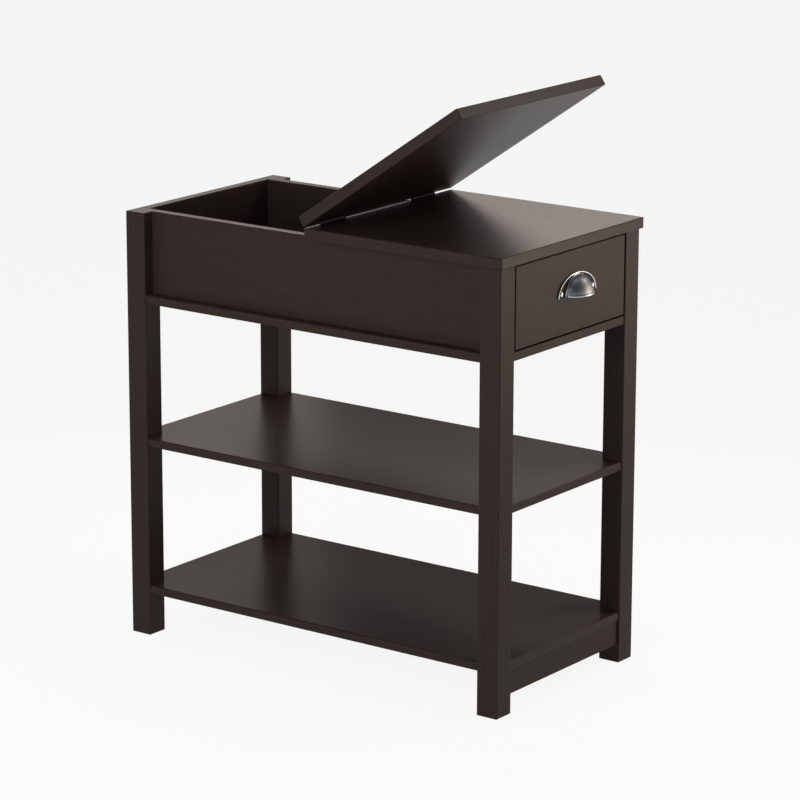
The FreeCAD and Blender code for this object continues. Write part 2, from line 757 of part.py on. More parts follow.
behind = slab("behind_pull", (room, room, room), ("-pull_width", "0", "-pull_width"))
screw_holes = []
for hand, side in HANDS.items():
    screw_hole = doc.addObject("Part::Cylinder", f"pull_screw_hole_{hand}")
    bind(screw_hole, Radius="pull_screw_radius + fit", Height="pull_flange + 2 * overrun")
    screw_hole.Placement.Rotation = FreeCAD.Rotation(Z, -Y)
    place(screw_hole, (f"{side} * pull_screw_spread / 2", "overrun", "pull_screw_rise"))
    screw_holes.append(screw_hole)
whole_pull = joined("pull_whole", [flange, rim, lip, cup])
waste = joined("pull_waste", [hollow, below, behind, *screw_holes])
nodes["cup_pull"] = cut_off("cup_pull", whole_pull, waste)
place(nodes["cup_pull"], ("pull_offset", "drawer_face", "pull_level"))

# Fasteners, each kind drawn once along +Z from the face where it enters


def screw_template(name, radius, length, head_radius, head_thickness):
    screw = template(name)
    rod(screw, "Additive", radius, length, ZERO, Z)
    rod(screw, "Additive", head_radius, head_thickness, ("0", "0", f"-({head_thickness})"), Z)
    return screw


def driven(pattern, spots):
    """Links of a template at points, each turned along its own direction."""
    return [(pattern, point, FreeCAD.Rotation(Z, along)) for point, along in spots]


slide_screw = screw_template(
    "slide_screw",
    "slide_screw_radius",
    "slide_screw_length",
    "slide_screw_head_radius",
    "slide_screw_head_thickness",
)
pull_screw = screw_template(
    "pull_screw",
    "pull_screw_radius",
    "pull_screw_length",
    "pull_screw_head_radius",
    "pull_screw_head_thickness",
)
drawer_screw = screw_template(
    "drawer_screw",
    "drawer_screw_radius",
    "drawer_screw_length",
    "drawer_screw_head_radius",
    "drawer_screw_head_thickness",
)
hinge_screw = template("hinge_screw")
rod(hinge_screw, "Additive", "hinge_screw_radius", "hinge_screw_length", ZERO, Z)
cone(hinge_screw, "Additive", "hinge_screw_head_radius", "hinge_screw_radius", "leaf_thickness", ZERO, Z)

dowel_pin = template("dowel_pin")
rod(dowel_pin, "Additive", "dowel_radius", "dowel_bite + dowel_reach", ("0", "0", "-dowel_bite"), Z)

cam_bolt = template("cam_bolt")
rod(cam_bolt, "Additive", "cam_bolt_head_radius", "cam_bolt_bite", ("0", "0", "-cam_bolt_bite"), Z)
rod(cam_bolt, "Additive", "cam_bolt_radius", "cam_distance", ZERO, Z)
head_start = ("0", "0", "cam_distance - cam_bolt_head_length")
rod(cam_bolt, "Additive", "cam_bolt_head_radius", "cam_bolt_head_length", head_start, Z)


def cam_template(thickness):
    """A cam drawn with its mouth at z = 0, and a slot along X for the bolt's head."""
    cam_lock = template(f"cam_for_{thickness}")
    depth = f"{thickness} - cam_skin"
    rod(cam_lock, "Additive", "cam_radius", depth, ("0", "0", f"-({depth})"), Z)
    slot_start = ("-cam_radius - overrun", "0", f"-{thickness} / 2")
    slot_length = "cam_radius + overrun + fit"
    rod(cam_lock, "Subtractive", "cam_bolt_head_radius + fit", slot_length, slot_start, X)
    return cam_lock


thicknesses = sorted({cam.thickness for cam in cams + drawer_cams})
cam_templates = {thickness: cam_template(thickness) for thickness in thicknesses}


def cam_spots(joints):
    spots = []
    for cam in joints:
        middle = shifted(cam.point, cam.into, "cam_distance")
        mouth = shifted(middle, cam.mouth, f"{cam.thickness} / 2")
        turn = FreeCAD.Rotation(cam.into, cam.mouth.cross(cam.into), cam.mouth, "ZXY")
        spots.append((cam_templates[cam.thickness], mouth, turn))
    return spots


group("cam_bolts", driven(cam_bolt, [(cam.point, cam.into) for cam in cams]))
group("cam_locks", cam_spots(cams))
group("dowels", driven(dowel_pin, [(dowel.point, dowel.into) for dowel in dowels]))
group("drawer_cam_bolts", driven(cam_bolt, [(cam.point, cam.into) for cam in drawer_cams]))
group("drawer_cam_locks", cam_spots(drawer_cams))
group("drawer_screws", driven(drawer_screw, drawer_screw_spots))
group("rail_screws", driven(slide_screw, rail_screw_spots))
group("runner_screws", driven(slide_screw, runner_screw_spots))
pull_screw_y = "drawer_face - pull_flange"
pull_screw_z = "pull_level + pull_screw_rise"
pull_screw_x = [f"pull_offset + {side} * pull_screw_spread / 2" for side in HANDS.values()]
group("pull_screws", driven(pull_screw, [((x, pull_screw_y, pull_screw_z), Y) for x in pull_screw_x]))


def hinge_screw_spots(origin, along):
    spots = []
    for side in HANDS.values():
        for end in (-1, 1):
            screw_x = f"{side} * hinge_x + {end} * hinge_screw_spread / 2"
            face = shifted(offset(origin, x=screw_x, z="-hinge_screw_drop"), along, "seam / 2")
            spots.append((face, along))
    return spots


group("hinge_top_screws", driven(hinge_screw, hinge_screw_spots(HINGE, -Y)))
hang(group("hinge_lid_screws", driven(hinge_screw, hinge_screw_spots(ZERO, Y))))

# Check the document, then write each piece

doc.recompute()
failed = [thing.Name for thing in doc.Objects if {"Invalid", "Error"} & set(thing.State)]
if failed:
    raise RuntimeError(f"failed: {failed}")
for thing in doc.Objects:
    if thing.TypeId.startswith("PartDesign::Subtractive"):
        if thing.Shape.Volume >= thing.BaseFeature.Shape.Volume:
            raise RuntimeError(f"{thing.Name} cuts nothing")
for name, thing in nodes.items():
    thing.Label = name
    if thing.Shape.isNull() or not thing.Shape.isValid():
        raise RuntimeError(f"{name} has no valid shape")
os.makedirs("parts", exist_ok=True)
for name, thing in nodes.items():
    thing.Shape.exportStep(f"parts/{name}.step")
    print(name, len(thing.Shape.Solids), round(thing.Shape.Volume))
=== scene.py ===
# %% [markdown]
# A lift top end table
# The real table has four square legs, two open shelves and a shallow box on top. Half of the box holds a
# drawer, and the other half is a hidden compartment under a hinged lid. The boards and legs are already
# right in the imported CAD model, so this lesson keeps them and gives them a finish. Only the pull, the
# screws and the cams are made again here, because their cast and turned shapes are finer than the solids.

# %% Load the frame
import math

import bmesh
import bpy
from mathutils import Matrix, Vector


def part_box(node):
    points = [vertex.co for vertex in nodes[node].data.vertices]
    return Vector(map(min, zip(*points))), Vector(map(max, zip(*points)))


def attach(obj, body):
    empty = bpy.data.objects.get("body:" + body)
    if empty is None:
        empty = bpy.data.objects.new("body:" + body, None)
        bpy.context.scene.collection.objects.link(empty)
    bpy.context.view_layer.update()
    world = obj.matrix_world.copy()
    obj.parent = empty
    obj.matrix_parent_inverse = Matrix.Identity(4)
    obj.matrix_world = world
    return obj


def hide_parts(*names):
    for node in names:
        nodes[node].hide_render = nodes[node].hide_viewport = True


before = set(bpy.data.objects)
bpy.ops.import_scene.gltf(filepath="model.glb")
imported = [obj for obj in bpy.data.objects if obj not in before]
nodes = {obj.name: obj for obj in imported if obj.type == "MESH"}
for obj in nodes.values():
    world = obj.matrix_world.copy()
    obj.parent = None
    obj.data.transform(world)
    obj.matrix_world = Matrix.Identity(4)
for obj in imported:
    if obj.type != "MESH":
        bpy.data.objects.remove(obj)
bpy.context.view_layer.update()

# %% [markdown]
# The view
# The photograph was taken from the left of the drawer's end, a little above the top. A camera could be
# placed by eye, but its angles and distance were solved from the corners of the legs and boards, so the
# render can be laid over the photograph. First the angles become three directions: towards the camera, to
# the right in the picture, and up in the picture.

# %% The solved view
VIEW_AZIMUTH = math.radians(-53.648)
VIEW_ELEVATION = math.radians(14.508)
VIEW_ROLL = math.radians(0.144)

toward_camera = Vector((
    math.sin(VIEW_AZIMUTH) * math.cos(VIEW_ELEVATION),
    -math.cos(VIEW_AZIMUTH) * math.cos(VIEW_ELEVATION),
    math.sin(VIEW_ELEVATION),
))
level = Vector((math.cos(VIEW_AZIMUTH), math.sin(VIEW_AZIMUTH), 0))
upright = toward_camera.cross(level)
picture_right = level * math.cos(VIEW_ROLL) + upright * math.sin(VIEW_ROLL)
picture_up = upright * math.cos(VIEW_ROLL) - level * math.sin(VIEW_ROLL)
print("towards the camera", [round(value, 3) for value in toward_camera])

# %% [markdown]
# The camera
# A camera in Blender looks along its own -Z, with X to the right and Y up in the picture. So the three
# directions are the columns of its matrix, and no angles have to be turned in the right order. The lens is
# long, which keeps the legs nearly parallel. It comes from the photograph's focal length in pixels.

# %% Camera
IMAGE_SIDE_PX = 800
SENSOR_MM = 36
FOCAL_LENGTH_PX = 3590.3
VIEW_DISTANCE = 4.861
AIM = Vector((0, 0.01075, 0.2975))
AIM_SLIDE_RIGHT = 0.02765
AIM_SLIDE_UP = 0.04703

camera_place = AIM + toward_camera * VIEW_DISTANCE
camera_place += picture_right * AIM_SLIDE_RIGHT + picture_up * AIM_SLIDE_UP
lens = bpy.data.cameras.new("table_camera")
lens.sensor_width = SENSOR_MM
lens.lens = FOCAL_LENGTH_PX * SENSOR_MM / IMAGE_SIDE_PX
camera = bpy.data.objects.new("table_camera", lens)
bpy.context.scene.collection.objects.link(camera)
turned = Matrix((picture_right, picture_up, toward_camera)).transposed().to_4x4()
camera.matrix_world = Matrix.Translation(camera_place) @ turned
bpy.context.scene.camera = camera
print("camera at", [round(value, 3) for value in camera_place], "lens", round(lens.lens, 2), "mm")

# %% [markdown]
# Colours and nodes
# Colours are written as the sRGB hex values that one would read off a screen, and Blender's sockets take
# linear light, so one function turns the one into the other. A material is a graph of nodes. One small
# function adds a node, gives its settings, and fills each named socket with a value or a link.

# %% Helpers for materials
def linear(hex_colour):
    """An sRGB hex colour as linear red, green, blue and alpha."""
    channels = []
    for start in (1, 3, 5):
        share = int(hex_colour[start:start + 2], 16) / 255
        channels.append(share / 12.92 if share <= 0.04045 else ((share + 0.055) / 1.055) ** 2.4)
    return (*channels, 1)


def add_node(tree, kind, sockets, **settings):
    """Adds a node with its settings. A socket's value is a constant, or an output to link from."""
    node = tree.nodes.new(kind)
    for setting, value in settings.items():
        setattr(node, setting, value)
    for socket, value in sockets.items():
        if isinstance(value, bpy.types.NodeSocket):
            tree.links.new(value, node.inputs[socket])
        else:
            node.inputs[socket].default_value = value
    return node


def empty_material(name):
    """A material with no nodes yet, and its node tree."""
    material = bpy.data.materials.new(name)
    material.use_nodes = True
    material.node_tree.nodes.clear()
    return material, material.node_tree


MIX_FACTOR, MIX_A, MIX_B, MIX_RESULT = 0, 6, 7, 2   # by number, because a mix node's sockets share names
print("espresso brown in linear light", [round(value, 4) for value in linear("#2e2522")])

# %% [markdown]
# The espresso finish
# The legs are rubberwood and the boards are veneered, all stained espresso and sprayed with a satin
# lacquer. The stain hides most of the grain, so only faint streaks show. The lacquer is what the eye sees:
# nearly black face on, and pale where it mirrors the bright room at a low angle. Image textures would need
# flat faces unwrapped, so the streaks are a noise stretched along each board instead, in real sizes.

# %% Espresso lacquered wood
MM = 0.001
GRAIN_WIDTH = 2.5 * MM
GRAIN_LENGTH = 160 * MM
PORE_WIDTH = 1.1 * MM       # real pores are near 0.2 mm wide, and are drawn coarser so that they show
PORE_LENGTH = 14 * MM
CLOUD_SIZE = 90 * MM        # how far the stain takes to drift from darker to lighter


def espresso_lacquer(name, along, sheen, turn=(0, 0, 0)):
    """Lacquer over dark stain, with the grain along axis 0, 1 or 2, for a board that may be turned."""
    material, tree = empty_material(name)
    place = add_node(tree, "ShaderNodeTexCoord", {})

    def stretched(width, length):
        """The place on the board, squeezed so that a noise of size 1 has this width and length."""
        size = [width, width, width]
        size[along] = length
        sockets = {"Vector": place.outputs["Object"], "Rotation": turn, "Scale": size}
        return add_node(tree, "ShaderNodeMapping", sockets, vector_type="TEXTURE").outputs["Vector"]

    streaks = add_node(tree, "ShaderNodeTexNoise", {
        "Vector": stretched(GRAIN_WIDTH, GRAIN_LENGTH),
        "Scale": 1, "Detail": 5, "Roughness": 0.62, "Distortion": 0.25,
    })
    clouds = add_node(tree, "ShaderNodeTexNoise", {
        "Vector": stretched(CLOUD_SIZE, 3 * CLOUD_SIZE), "Scale": 1, "Detail": 2,
    })
    pores = add_node(tree, "ShaderNodeTexNoise", {
        "Vector": stretched(PORE_WIDTH, PORE_LENGTH), "Scale": 1, "Detail": 3, "Roughness": 0.7,
    })
    stain = add_node(tree, "ShaderNodeMix", {
        MIX_FACTOR: streaks.outputs["Fac"], MIX_A: linear("#241b18"), MIX_B: linear("#392f2b"),
    }, data_type="RGBA")
    drift = add_node(tree, "ShaderNodeMapRange", {
        "Value": clouds.outputs["Fac"], "From Min": 0.3, "From Max": 0.7, "To Min": 0, "To Max": 0.35,
    })
    colour = add_node(tree, "ShaderNodeMix", {
        MIX_FACTOR: drift.outputs["Result"],
        MIX_A: stain.outputs[MIX_RESULT],
        MIX_B: linear("#2a201d"),
    }, data_type="RGBA")
    smooth, rough = sheen
    gloss = add_node(tree, "ShaderNodeMapRange", {
        "Value": streaks.outputs["Fac"], "From Min": 0.25, "From Max": 0.75,
        "To Min": smooth, "To Max": rough,
    })
    relief = add_node(tree, "ShaderNodeBump", {
        "Height": pores.outputs["Fac"], "Strength": 0.12, "Distance": 0.05 * MM,
    })
    surface = add_node(tree, "ShaderNodeBsdfPrincipled", {
        "Base Color": colour.outputs[MIX_RESULT],
        "Roughness": gloss.outputs["Result"],
        "Normal": relief.outputs["Normal"],
        "IOR": 1.5,
        "Specular IOR Level": 0.1,  # the matting agent in the lacquer breaks up most of the mirror image
    })
    add_node(tree, "ShaderNodeOutputMaterial", {"Surface": surface.outputs["BSDF"]})
    return material


print("grain", round(GRAIN_WIDTH / MM, 1), "by", round(GRAIN_LENGTH / MM, 1), "mm")

# %% [markdown]
# Which pieces wear it
# The grain runs up the legs, along the table on the long boards and the top, and across it on the short
# boards, so each direction gets a material of its own, and the lid's is turned with the lid. The same
# lacquer dries to three sheens. Legs and panels stay as sprayed, the top and the lid are rubbed a little
# smoother, and the flat shelves flow out smoothest, so that they show a soft image of the legs. One
# material for all would be simpler, but would lose both.

# %% Boards and legs
SATIN, RUBBED, SHELF_SHEEN = (0.42, 0.5), (0.36, 0.42), (0.29, 0.35)
ALONG_X, ALONG_Y, ALONG_Z = 0, 1, 2
LID_TURN = (math.radians(146), 0, 0)
HANDS = ("left", "right")


def wear(material, *names):
    """Gives a material to whole CAD nodes by their names."""
    for name in names:
        slots = nodes[name].material_slots
        for index in range(len(slots)):
            slots[index].material = material
        if not slots:
            nodes[name].data.materials.append(material)


legs = [f"leg_{end}_{hand}" for end in ("front", "back") for hand in HANDS]
long_boards = ["side_panel_left", "side_panel_right", "box_floor"]
shelves = ["middle_shelf", "bottom_shelf"]
cross_boards = ["back_panel", "divider", "front_apron", "drawer_front"]
wear(espresso_lacquer("espresso_lacquered_rubberwood_upright", ALONG_Z, SATIN), *legs)
wear(espresso_lacquer("espresso_lacquered_veneer_lengthwise", ALONG_Y, SATIN), *long_boards)
wear(espresso_lacquer("espresso_lacquered_veneer_crosswise", ALONG_X, SATIN), *cross_boards)
wear(espresso_lacquer("espresso_lacquered_veneer_shelf", ALONG_Y, SHELF_SHEEN), *shelves)
wear(espresso_lacquer("espresso_lacquered_veneer_top", ALONG_Y, RUBBED), "fixed_top")
wear(espresso_lacquer("espresso_lacquered_veneer_lid", ALONG_Y, RUBBED, LID_TURN), "lid")
print("espresso pieces", len(legs) + len(long_boards) + len(cross_boards) + len(shelves) + 2)

# %% [markdown]
# The drawer's box
# Nobody polishes the inside of a drawer: its walls and bottom are particle board faced with a dark printed
# melamine. The print is a plain wood grain, and the face is pressed against a textured plate, so it looks
# dry and slightly pebbled. A scan of such a print could be laid on, but noise needs no picture and no
# unwrapping: one noise gives the print and a finer one gives the pebbles.

# %% Melamine faced board
PRINT_WIDTH = 4 * MM
PRINT_LENGTH = 120 * MM
PEBBLE = 1.2 * MM           # the pressed texture is nearer 0.4 mm, and is drawn coarser so that it shows


def printed_melamine(name, along):
    """A dry printed wood grain along axis 0 or 1, over a pebbled face."""
    material, tree = empty_material(name)
    place = add_node(tree, "ShaderNodeTexCoord", {})
    size = [PRINT_WIDTH, PRINT_WIDTH, PRINT_WIDTH]
    size[along] = PRINT_LENGTH
    grain_place = add_node(tree, "ShaderNodeMapping", {
        "Vector": place.outputs["Object"], "Scale": size,
    }, vector_type="TEXTURE")
    grain = add_node(tree, "ShaderNodeTexNoise", {
        "Vector": grain_place.outputs["Vector"],
        "Scale": 1, "Detail": 6, "Roughness": 0.65, "Distortion": 0.5,
    })
    pebbles = add_node(tree, "ShaderNodeTexNoise", {
        "Vector": place.outputs["Object"], "Scale": 1 / PEBBLE, "Detail": 2,
    })
    colour = add_node(tree, "ShaderNodeMix", {
        MIX_FACTOR: grain.outputs["Fac"], MIX_A: linear("#2c211b"), MIX_B: linear("#4a3a30"),
    }, data_type="RGBA")
    dryness = add_node(tree, "ShaderNodeMapRange", {
        "Value": pebbles.outputs["Fac"], "From Min": 0.3, "From Max": 0.7, "To Min": 0.5, "To Max": 0.62,
    })
    relief = add_node(tree, "ShaderNodeBump", {
        "Height": pebbles.outputs["Fac"], "Strength": 0.25, "Distance": 0.06 * MM,
    })
    surface = add_node(tree, "ShaderNodeBsdfPrincipled", {
        "Base Color": colour.outputs[MIX_RESULT],
        "Roughness": dryness.outputs["Result"],
        "Normal": relief.outputs["Normal"],
        "IOR": 1.5,
    })
    add_node(tree, "ShaderNodeOutputMaterial", {"Surface": surface.outputs["BSDF"]})
    return material


drawer_sides = ["drawer_side_left", "drawer_side_right", "drawer_bottom"]
wear(printed_melamine("printed_melamine_lengthwise", ALONG_Y), *drawer_sides)
wear(printed_melamine("printed_melamine_crosswise", ALONG_X), "drawer_back")
print("melamine pieces", len(drawer_sides) + 1)

# %% [markdown]
# Plain metals
# The screws and axles are zinc plated steel, which is a bright grey with a faint warm and cool bloom from
# the plating bath. The hinges are blackened, so that they hardly show against the dark wood. The cams are
# die-cast zinc, duller and slightly grainy. All are metals, so nearly all their colour is what they
# mirror, and small changes of roughness do most of the work. Each could have nodes of its own, but they
# differ only in numbers, so one function makes them all.

# %% Plated, blackened and cast metal
PLATING_BLOOM = 6 * MM
CAST_GRAIN = 0.9 * MM       # cast skin is nearer 0.3 mm, and is drawn coarser so that it shows


def dipped_metal(name, warm, cool, smooth, rough, dent):
    """A metal whose colour and roughness drift with the bloom of its bath, over a fine dented skin."""
    material, tree = empty_material(name)
    place = add_node(tree, "ShaderNodeTexCoord", {})
    bloom = add_node(tree, "ShaderNodeTexNoise", {
        "Vector": place.outputs["Object"], "Scale": 1 / PLATING_BLOOM, "Detail": 3,
    })
    skin = add_node(tree, "ShaderNodeTexNoise", {
        "Vector": place.outputs["Object"], "Scale": 1 / CAST_GRAIN, "Detail": 2,
    })
    colour = add_node(tree, "ShaderNodeMix", {
        MIX_FACTOR: bloom.outputs["Fac"], MIX_A: linear(warm), MIX_B: linear(cool),
    }, data_type="RGBA")
    gloss = add_node(tree, "ShaderNodeMapRange", {
        "Value": bloom.outputs["Fac"], "From Min": 0.3, "From Max": 0.7, "To Min": smooth, "To Max": rough,
    })
    relief = add_node(tree, "ShaderNodeBump", {
        "Height": skin.outputs["Fac"], "Strength": 0.2, "Distance": dent,
    })
    surface = add_node(tree, "ShaderNodeBsdfPrincipled", {
        "Base Color": colour.outputs[MIX_RESULT],
        "Metallic": 1,
        "Roughness": gloss.outputs["Result"],
        "Normal": relief.outputs["Normal"],
    })
    add_node(tree, "ShaderNodeOutputMaterial", {"Surface": surface.outputs["BSDF"]})
    return material


plated_steel = dipped_metal("zinc_plated_steel", "#c6c0b2", "#b4bcc4", 0.24, 0.36, 0.01 * MM)
blackened_steel = dipped_metal("blackened_steel", "#2a2624", "#1f2022", 0.34, 0.46, 0.01 * MM)
cast_zinc = dipped_metal("die_cast_zinc", "#a7a59e", "#9a9da0", 0.38, 0.5, 0.04 * MM)
SLIDE_ENDS = ("front", "rear")
hinge_parts = [f"hinge_{part}_{hand}" for part in ("top_leaf", "lid_leaf", "pin") for hand in HANDS]
axles = [f"{end}_axle_{hand}" for end in SLIDE_ENDS for hand in HANDS]
wear(blackened_steel, *hinge_parts)
wear(plated_steel, *axles, "cam_bolts", "drawer_cam_bolts")
print("blackened pieces", len(hinge_parts), "plated pieces", len(axles) + 2)

# %% [markdown]
# The slides' rails
# The drawer runs on pressed steel channels with a baked black powder coat. The powder's melted grains leave
# an orange peel, which is what tells it from paint. A displaced mesh would be heavy for something so fine,
# so one noise drives a slight bump and the gloss together.

# %% Black powder coat
PEEL = 1.6 * MM
black_powder_coat, tree = empty_material("black_powder_coat")
place = add_node(tree, "ShaderNodeTexCoord", {})
peel = add_node(tree, "ShaderNodeTexNoise", {
    "Vector": place.outputs["Object"], "Scale": 1 / PEEL, "Detail": 1,
})
coat = add_node(tree, "ShaderNodeMix", {
    MIX_FACTOR: peel.outputs["Fac"], MIX_A: linear("#191919"), MIX_B: linear("#262626"),
}, data_type="RGBA")
gloss = add_node(tree, "ShaderNodeMapRange", {
    "Value": peel.outputs["Fac"], "To Min": 0.36, "To Max": 0.5,
})
relief = add_node(tree, "ShaderNodeBump", {
    "Height": peel.outputs["Fac"], "Strength": 0.3, "Distance": 0.05 * MM,
})
surface = add_node(tree, "ShaderNodeBsdfPrincipled", {
    "Base Color": coat.outputs[MIX_RESULT],
    "Roughness": gloss.outputs["Result"],
    "Normal": relief.outputs["Normal"],
    "IOR": 1.5,
})
add_node(tree, "ShaderNodeOutputMaterial", {"Surface": surface.outputs["BSDF"]})
rails = [f"{rail}_{hand}" for rail in ("cabinet_rail", "drawer_runner") for hand in HANDS]
wear(black_powder_coat, *rails)
print("powder coated rails", len(rails))

# %% [markdown]
# The rollers
# They are moulded nylon, milky and waxy, with faint marks where the melt flowed into the mould. Real nylon
# lets a little light in, but on a roller of this size a pale colour and a soft gloss look the same.

# %% Moulded nylon
FLOW_MARK = 2.5 * MM
moulded_nylon, tree = empty_material("moulded_nylon")
place = add_node(tree, "ShaderNodeTexCoord", {})
flow = add_node(tree, "ShaderNodeTexNoise", {
    "Vector": place.outputs["Object"], "Scale": 1 / FLOW_MARK, "Detail": 2,
})
milk = add_node(tree, "ShaderNodeMix", {
    MIX_FACTOR: flow.outputs["Fac"], MIX_A: linear("#dedad0"), MIX_B: linear("#eeebe3"),
}, data_type="RGBA")
wax = add_node(tree, "ShaderNodeMapRange", {
    "Value": flow.outputs["Fac"], "To Min": 0.36, "To Max": 0.5,
})
relief = add_node(tree, "ShaderNodeBump", {
    "Height": flow.outputs["Fac"], "Strength": 0.1, "Distance": 0.02 * MM,
})
surface = add_node(tree, "ShaderNodeBsdfPrincipled", {
    "Base Color": milk.outputs[MIX_RESULT],
    "Roughness": wax.outputs["Result"],
    "Normal": relief.outputs["Normal"],
    "IOR": 1.53,
})
add_node(tree, "ShaderNodeOutputMaterial", {"Surface": surface.outputs["BSDF"]})
rollers = [f"{end}_roller_{hand}" for end in SLIDE_ENDS for hand in HANDS]
wear(moulded_nylon, *rollers)
print("nylon rollers", len(rollers))

# %% [markdown]
# The dowels
# They are bare beech, a pale wood with short brown flecks, and they sit inside the joints. A fine noise
# between two browns is enough for pieces that are hardly ever seen.

# %% Bare beech
FLECK = 1.0 * MM
bare_beech, tree = empty_material("bare_beech")
place = add_node(tree, "ShaderNodeTexCoord", {})
fleck = add_node(tree, "ShaderNodeTexNoise", {
    "Vector": place.outputs["Object"], "Scale": 1 / FLECK, "Detail": 3,
})
wood = add_node(tree, "ShaderNodeMix", {
    MIX_FACTOR: fleck.outputs["Fac"], MIX_A: linear("#b98d5c"), MIX_B: linear("#d8b486"),
}, data_type="RGBA")
dry = add_node(tree, "ShaderNodeMapRange", {
    "Value": fleck.outputs["Fac"], "To Min": 0.55, "To Max": 0.7,
})
surface = add_node(tree, "ShaderNodeBsdfPrincipled", {
    "Base Color": wood.outputs[MIX_RESULT], "Roughness": dry.outputs["Result"], "IOR": 1.5,
})
add_node(tree, "ShaderNodeOutputMaterial", {"Surface": surface.outputs["BSDF"]})
wear(bare_beech, "dowels")
print("beech flecks", round(FLECK / MM, 1), "mm")

# %% [markdown]
# The cup pull
# The pull is cast: an arched plate with a raised rim, and a cup that swells out of it and is open below
# for the fingers. It could be cut from spheres, but then each seam would need cleaning. Here one closed
# outline, from the cup's lip over the dome, across the plate and back inside, is swept round the arch.
# Each row of points follows half an ellipse, so the rows stay smooth and the metal keeps an even wall.
# Sizes are in millimetres, and an angle runs from one foot of the arch to the other.

# %% Cup pull, rows of the plate
FLANGE, PULL_HALF, PULL_HEIGHT = 1.5, 43.5, 29.0
CUP_HALF, CUP_PROJECTION, CUP_HEIGHT = 26.2, 21.2, 26.2
foot = math.sqrt(1 - (FLANGE / CUP_PROJECTION) ** 2)    # the cup's share of its width at the plate's face


def plate_row(inset, front):
    """A row that follows the plate's outline, inset by some millimetres, at a height off the drawer."""
    def at(angle):
        return ((PULL_HALF - inset) * math.cos(angle), -front, (PULL_HEIGHT - inset) * math.sin(angle))
    return at


def foot_row(outset, front):
    """A row round the cup's foot, where it meets the plate."""
    def at(angle):
        half = CUP_HALF * foot + outset
        return (half * math.cos(angle), -front, (CUP_HEIGHT * foot + outset) * math.sin(angle))
    return at


print("pull", 2 * PULL_HALF, "mm wide and", PULL_HEIGHT, "mm high")

# %% [markdown]
# The lip
# The cup's mouth has a rolled lip, which stiffens it and thins out to nothing where the cup's ends run into
# the plate. It could be a tube of its own, but as rows of the same outline it can't come loose from the
# dome.

# %% Cup pull, rows of the lip
LIP_HEIGHT = 1.8
LIP_END_SHARE = 0.45        # of the cup's height, which limits the lip near the ends of the arch
TAPER_STEEPNESS = 5


def taper(angle):
    """One along most of the arch, running to nothing at its two ends."""
    return min(1, TAPER_STEEPNESS * math.sin(angle))


def lip_height(angle):
    """The lip's height, which is less near the ends of the arch."""
    return min(LIP_HEIGHT, LIP_END_SHARE * CUP_HEIGHT * math.sin(angle))


def lip_row(outset, share):
    """A row of the lip round the cup's mouth, at a share of its height."""
    def at(angle):
        around = math.acos(foot * math.cos(angle))
        out = outset * taper(angle)
        x = (CUP_HALF + out) * math.cos(around)
        y = -(CUP_PROJECTION + out) * math.sin(around)
        return (x, y, share * lip_height(angle))
    return at


print("lip", LIP_HEIGHT, "mm high")

# %% [markdown]
# The dome
# Outside, the cup is part of an ellipsoid that ends at a bead on the plate. Inside it is a smaller
# ellipsoid, because a casting has a wall of even thickness. A Solidify modifier could give the wall, but it
# would thicken the lip as well.

# %% Cup pull, rows of the dome
CUP_WALL, BEAD = 1.6, 1.1


def dome_row(share):
    """A row over the cup's outside, from its lip at share 0 to the bead at its foot at share 1."""
    def at(angle):
        around = math.acos(foot * math.cos(angle))
        rise = CUP_HEIGHT * math.sin(around)
        reach = CUP_PROJECTION * math.sin(around)
        low = math.asin(min(1, lip_height(angle) / rise))
        high = math.acos(min(1, (FLANGE + BEAD * taper(angle)) / reach))
        tilt = low + (max(high, low) - low) * share
        return (CUP_HALF * math.cos(around), -reach * math.cos(tilt), rise * math.sin(tilt))
    return at


def hollow_row(share):
    """A row over the cup's inside, from the plate's back at share 0 to the mouth at share 1."""
    def at(angle):
        tilt = math.pi / 2 * (1 - share)
        x = (CUP_HALF - CUP_WALL) * math.cos(angle)
        y = -(CUP_PROJECTION - CUP_WALL) * math.sin(angle) * math.cos(tilt)
        return (x, y, (CUP_HEIGHT - CUP_WALL) * math.sin(angle) * math.sin(tilt))
    return at


print("cup", 2 * CUP_HALF, "mm wide, standing out", CUP_PROJECTION, "mm")

# %% [markdown]
# The whole outline
# Lip, bead and rim are short tables: how far out or in, how high, both as shares of the form's size, and
# how brightly it was polished. Buffing reaches the raised edges first and leaves the old dark tone in the
# hollows. Every row could be written out, but a table is easier to change.

# %% Cup pull, the outline
BRIGHT, SOFT, DULL = 0.72, 0.27, 0.0
DOME_ROWS, HOLLOW_ROWS = 26, 16
LIP, RIM_WIDTH, RIM_HEIGHT, RIM_FILLET = 0.8, 1.6, 0.8, 0.5
MOUTH_SHARE = 0.7           # of the wall, from the cup's outside inwards to the first row
LIP_SHAPE = [
    (0.55, 0, BRIGHT), (0.9, 0.06, BRIGHT), (1, 0.2, BRIGHT),
    (1, 0.7, BRIGHT), (0.85, 0.9, BRIGHT), (0.5, 1, SOFT),
]
BEAD_SHAPE = [(0.35, 0.75, BRIGHT), (0.75, 0.5, BRIGHT), (1, 0.15, SOFT), (1.15, 0, DULL)]
RIM_SHAPE = [
    (1, 0.25, SOFT), (0.8, 0.8, BRIGHT), (0.5, 1, BRIGHT),
    (0.2, 0.85, BRIGHT), (0.03, 0.4, BRIGHT), (0, 0, SOFT),
]

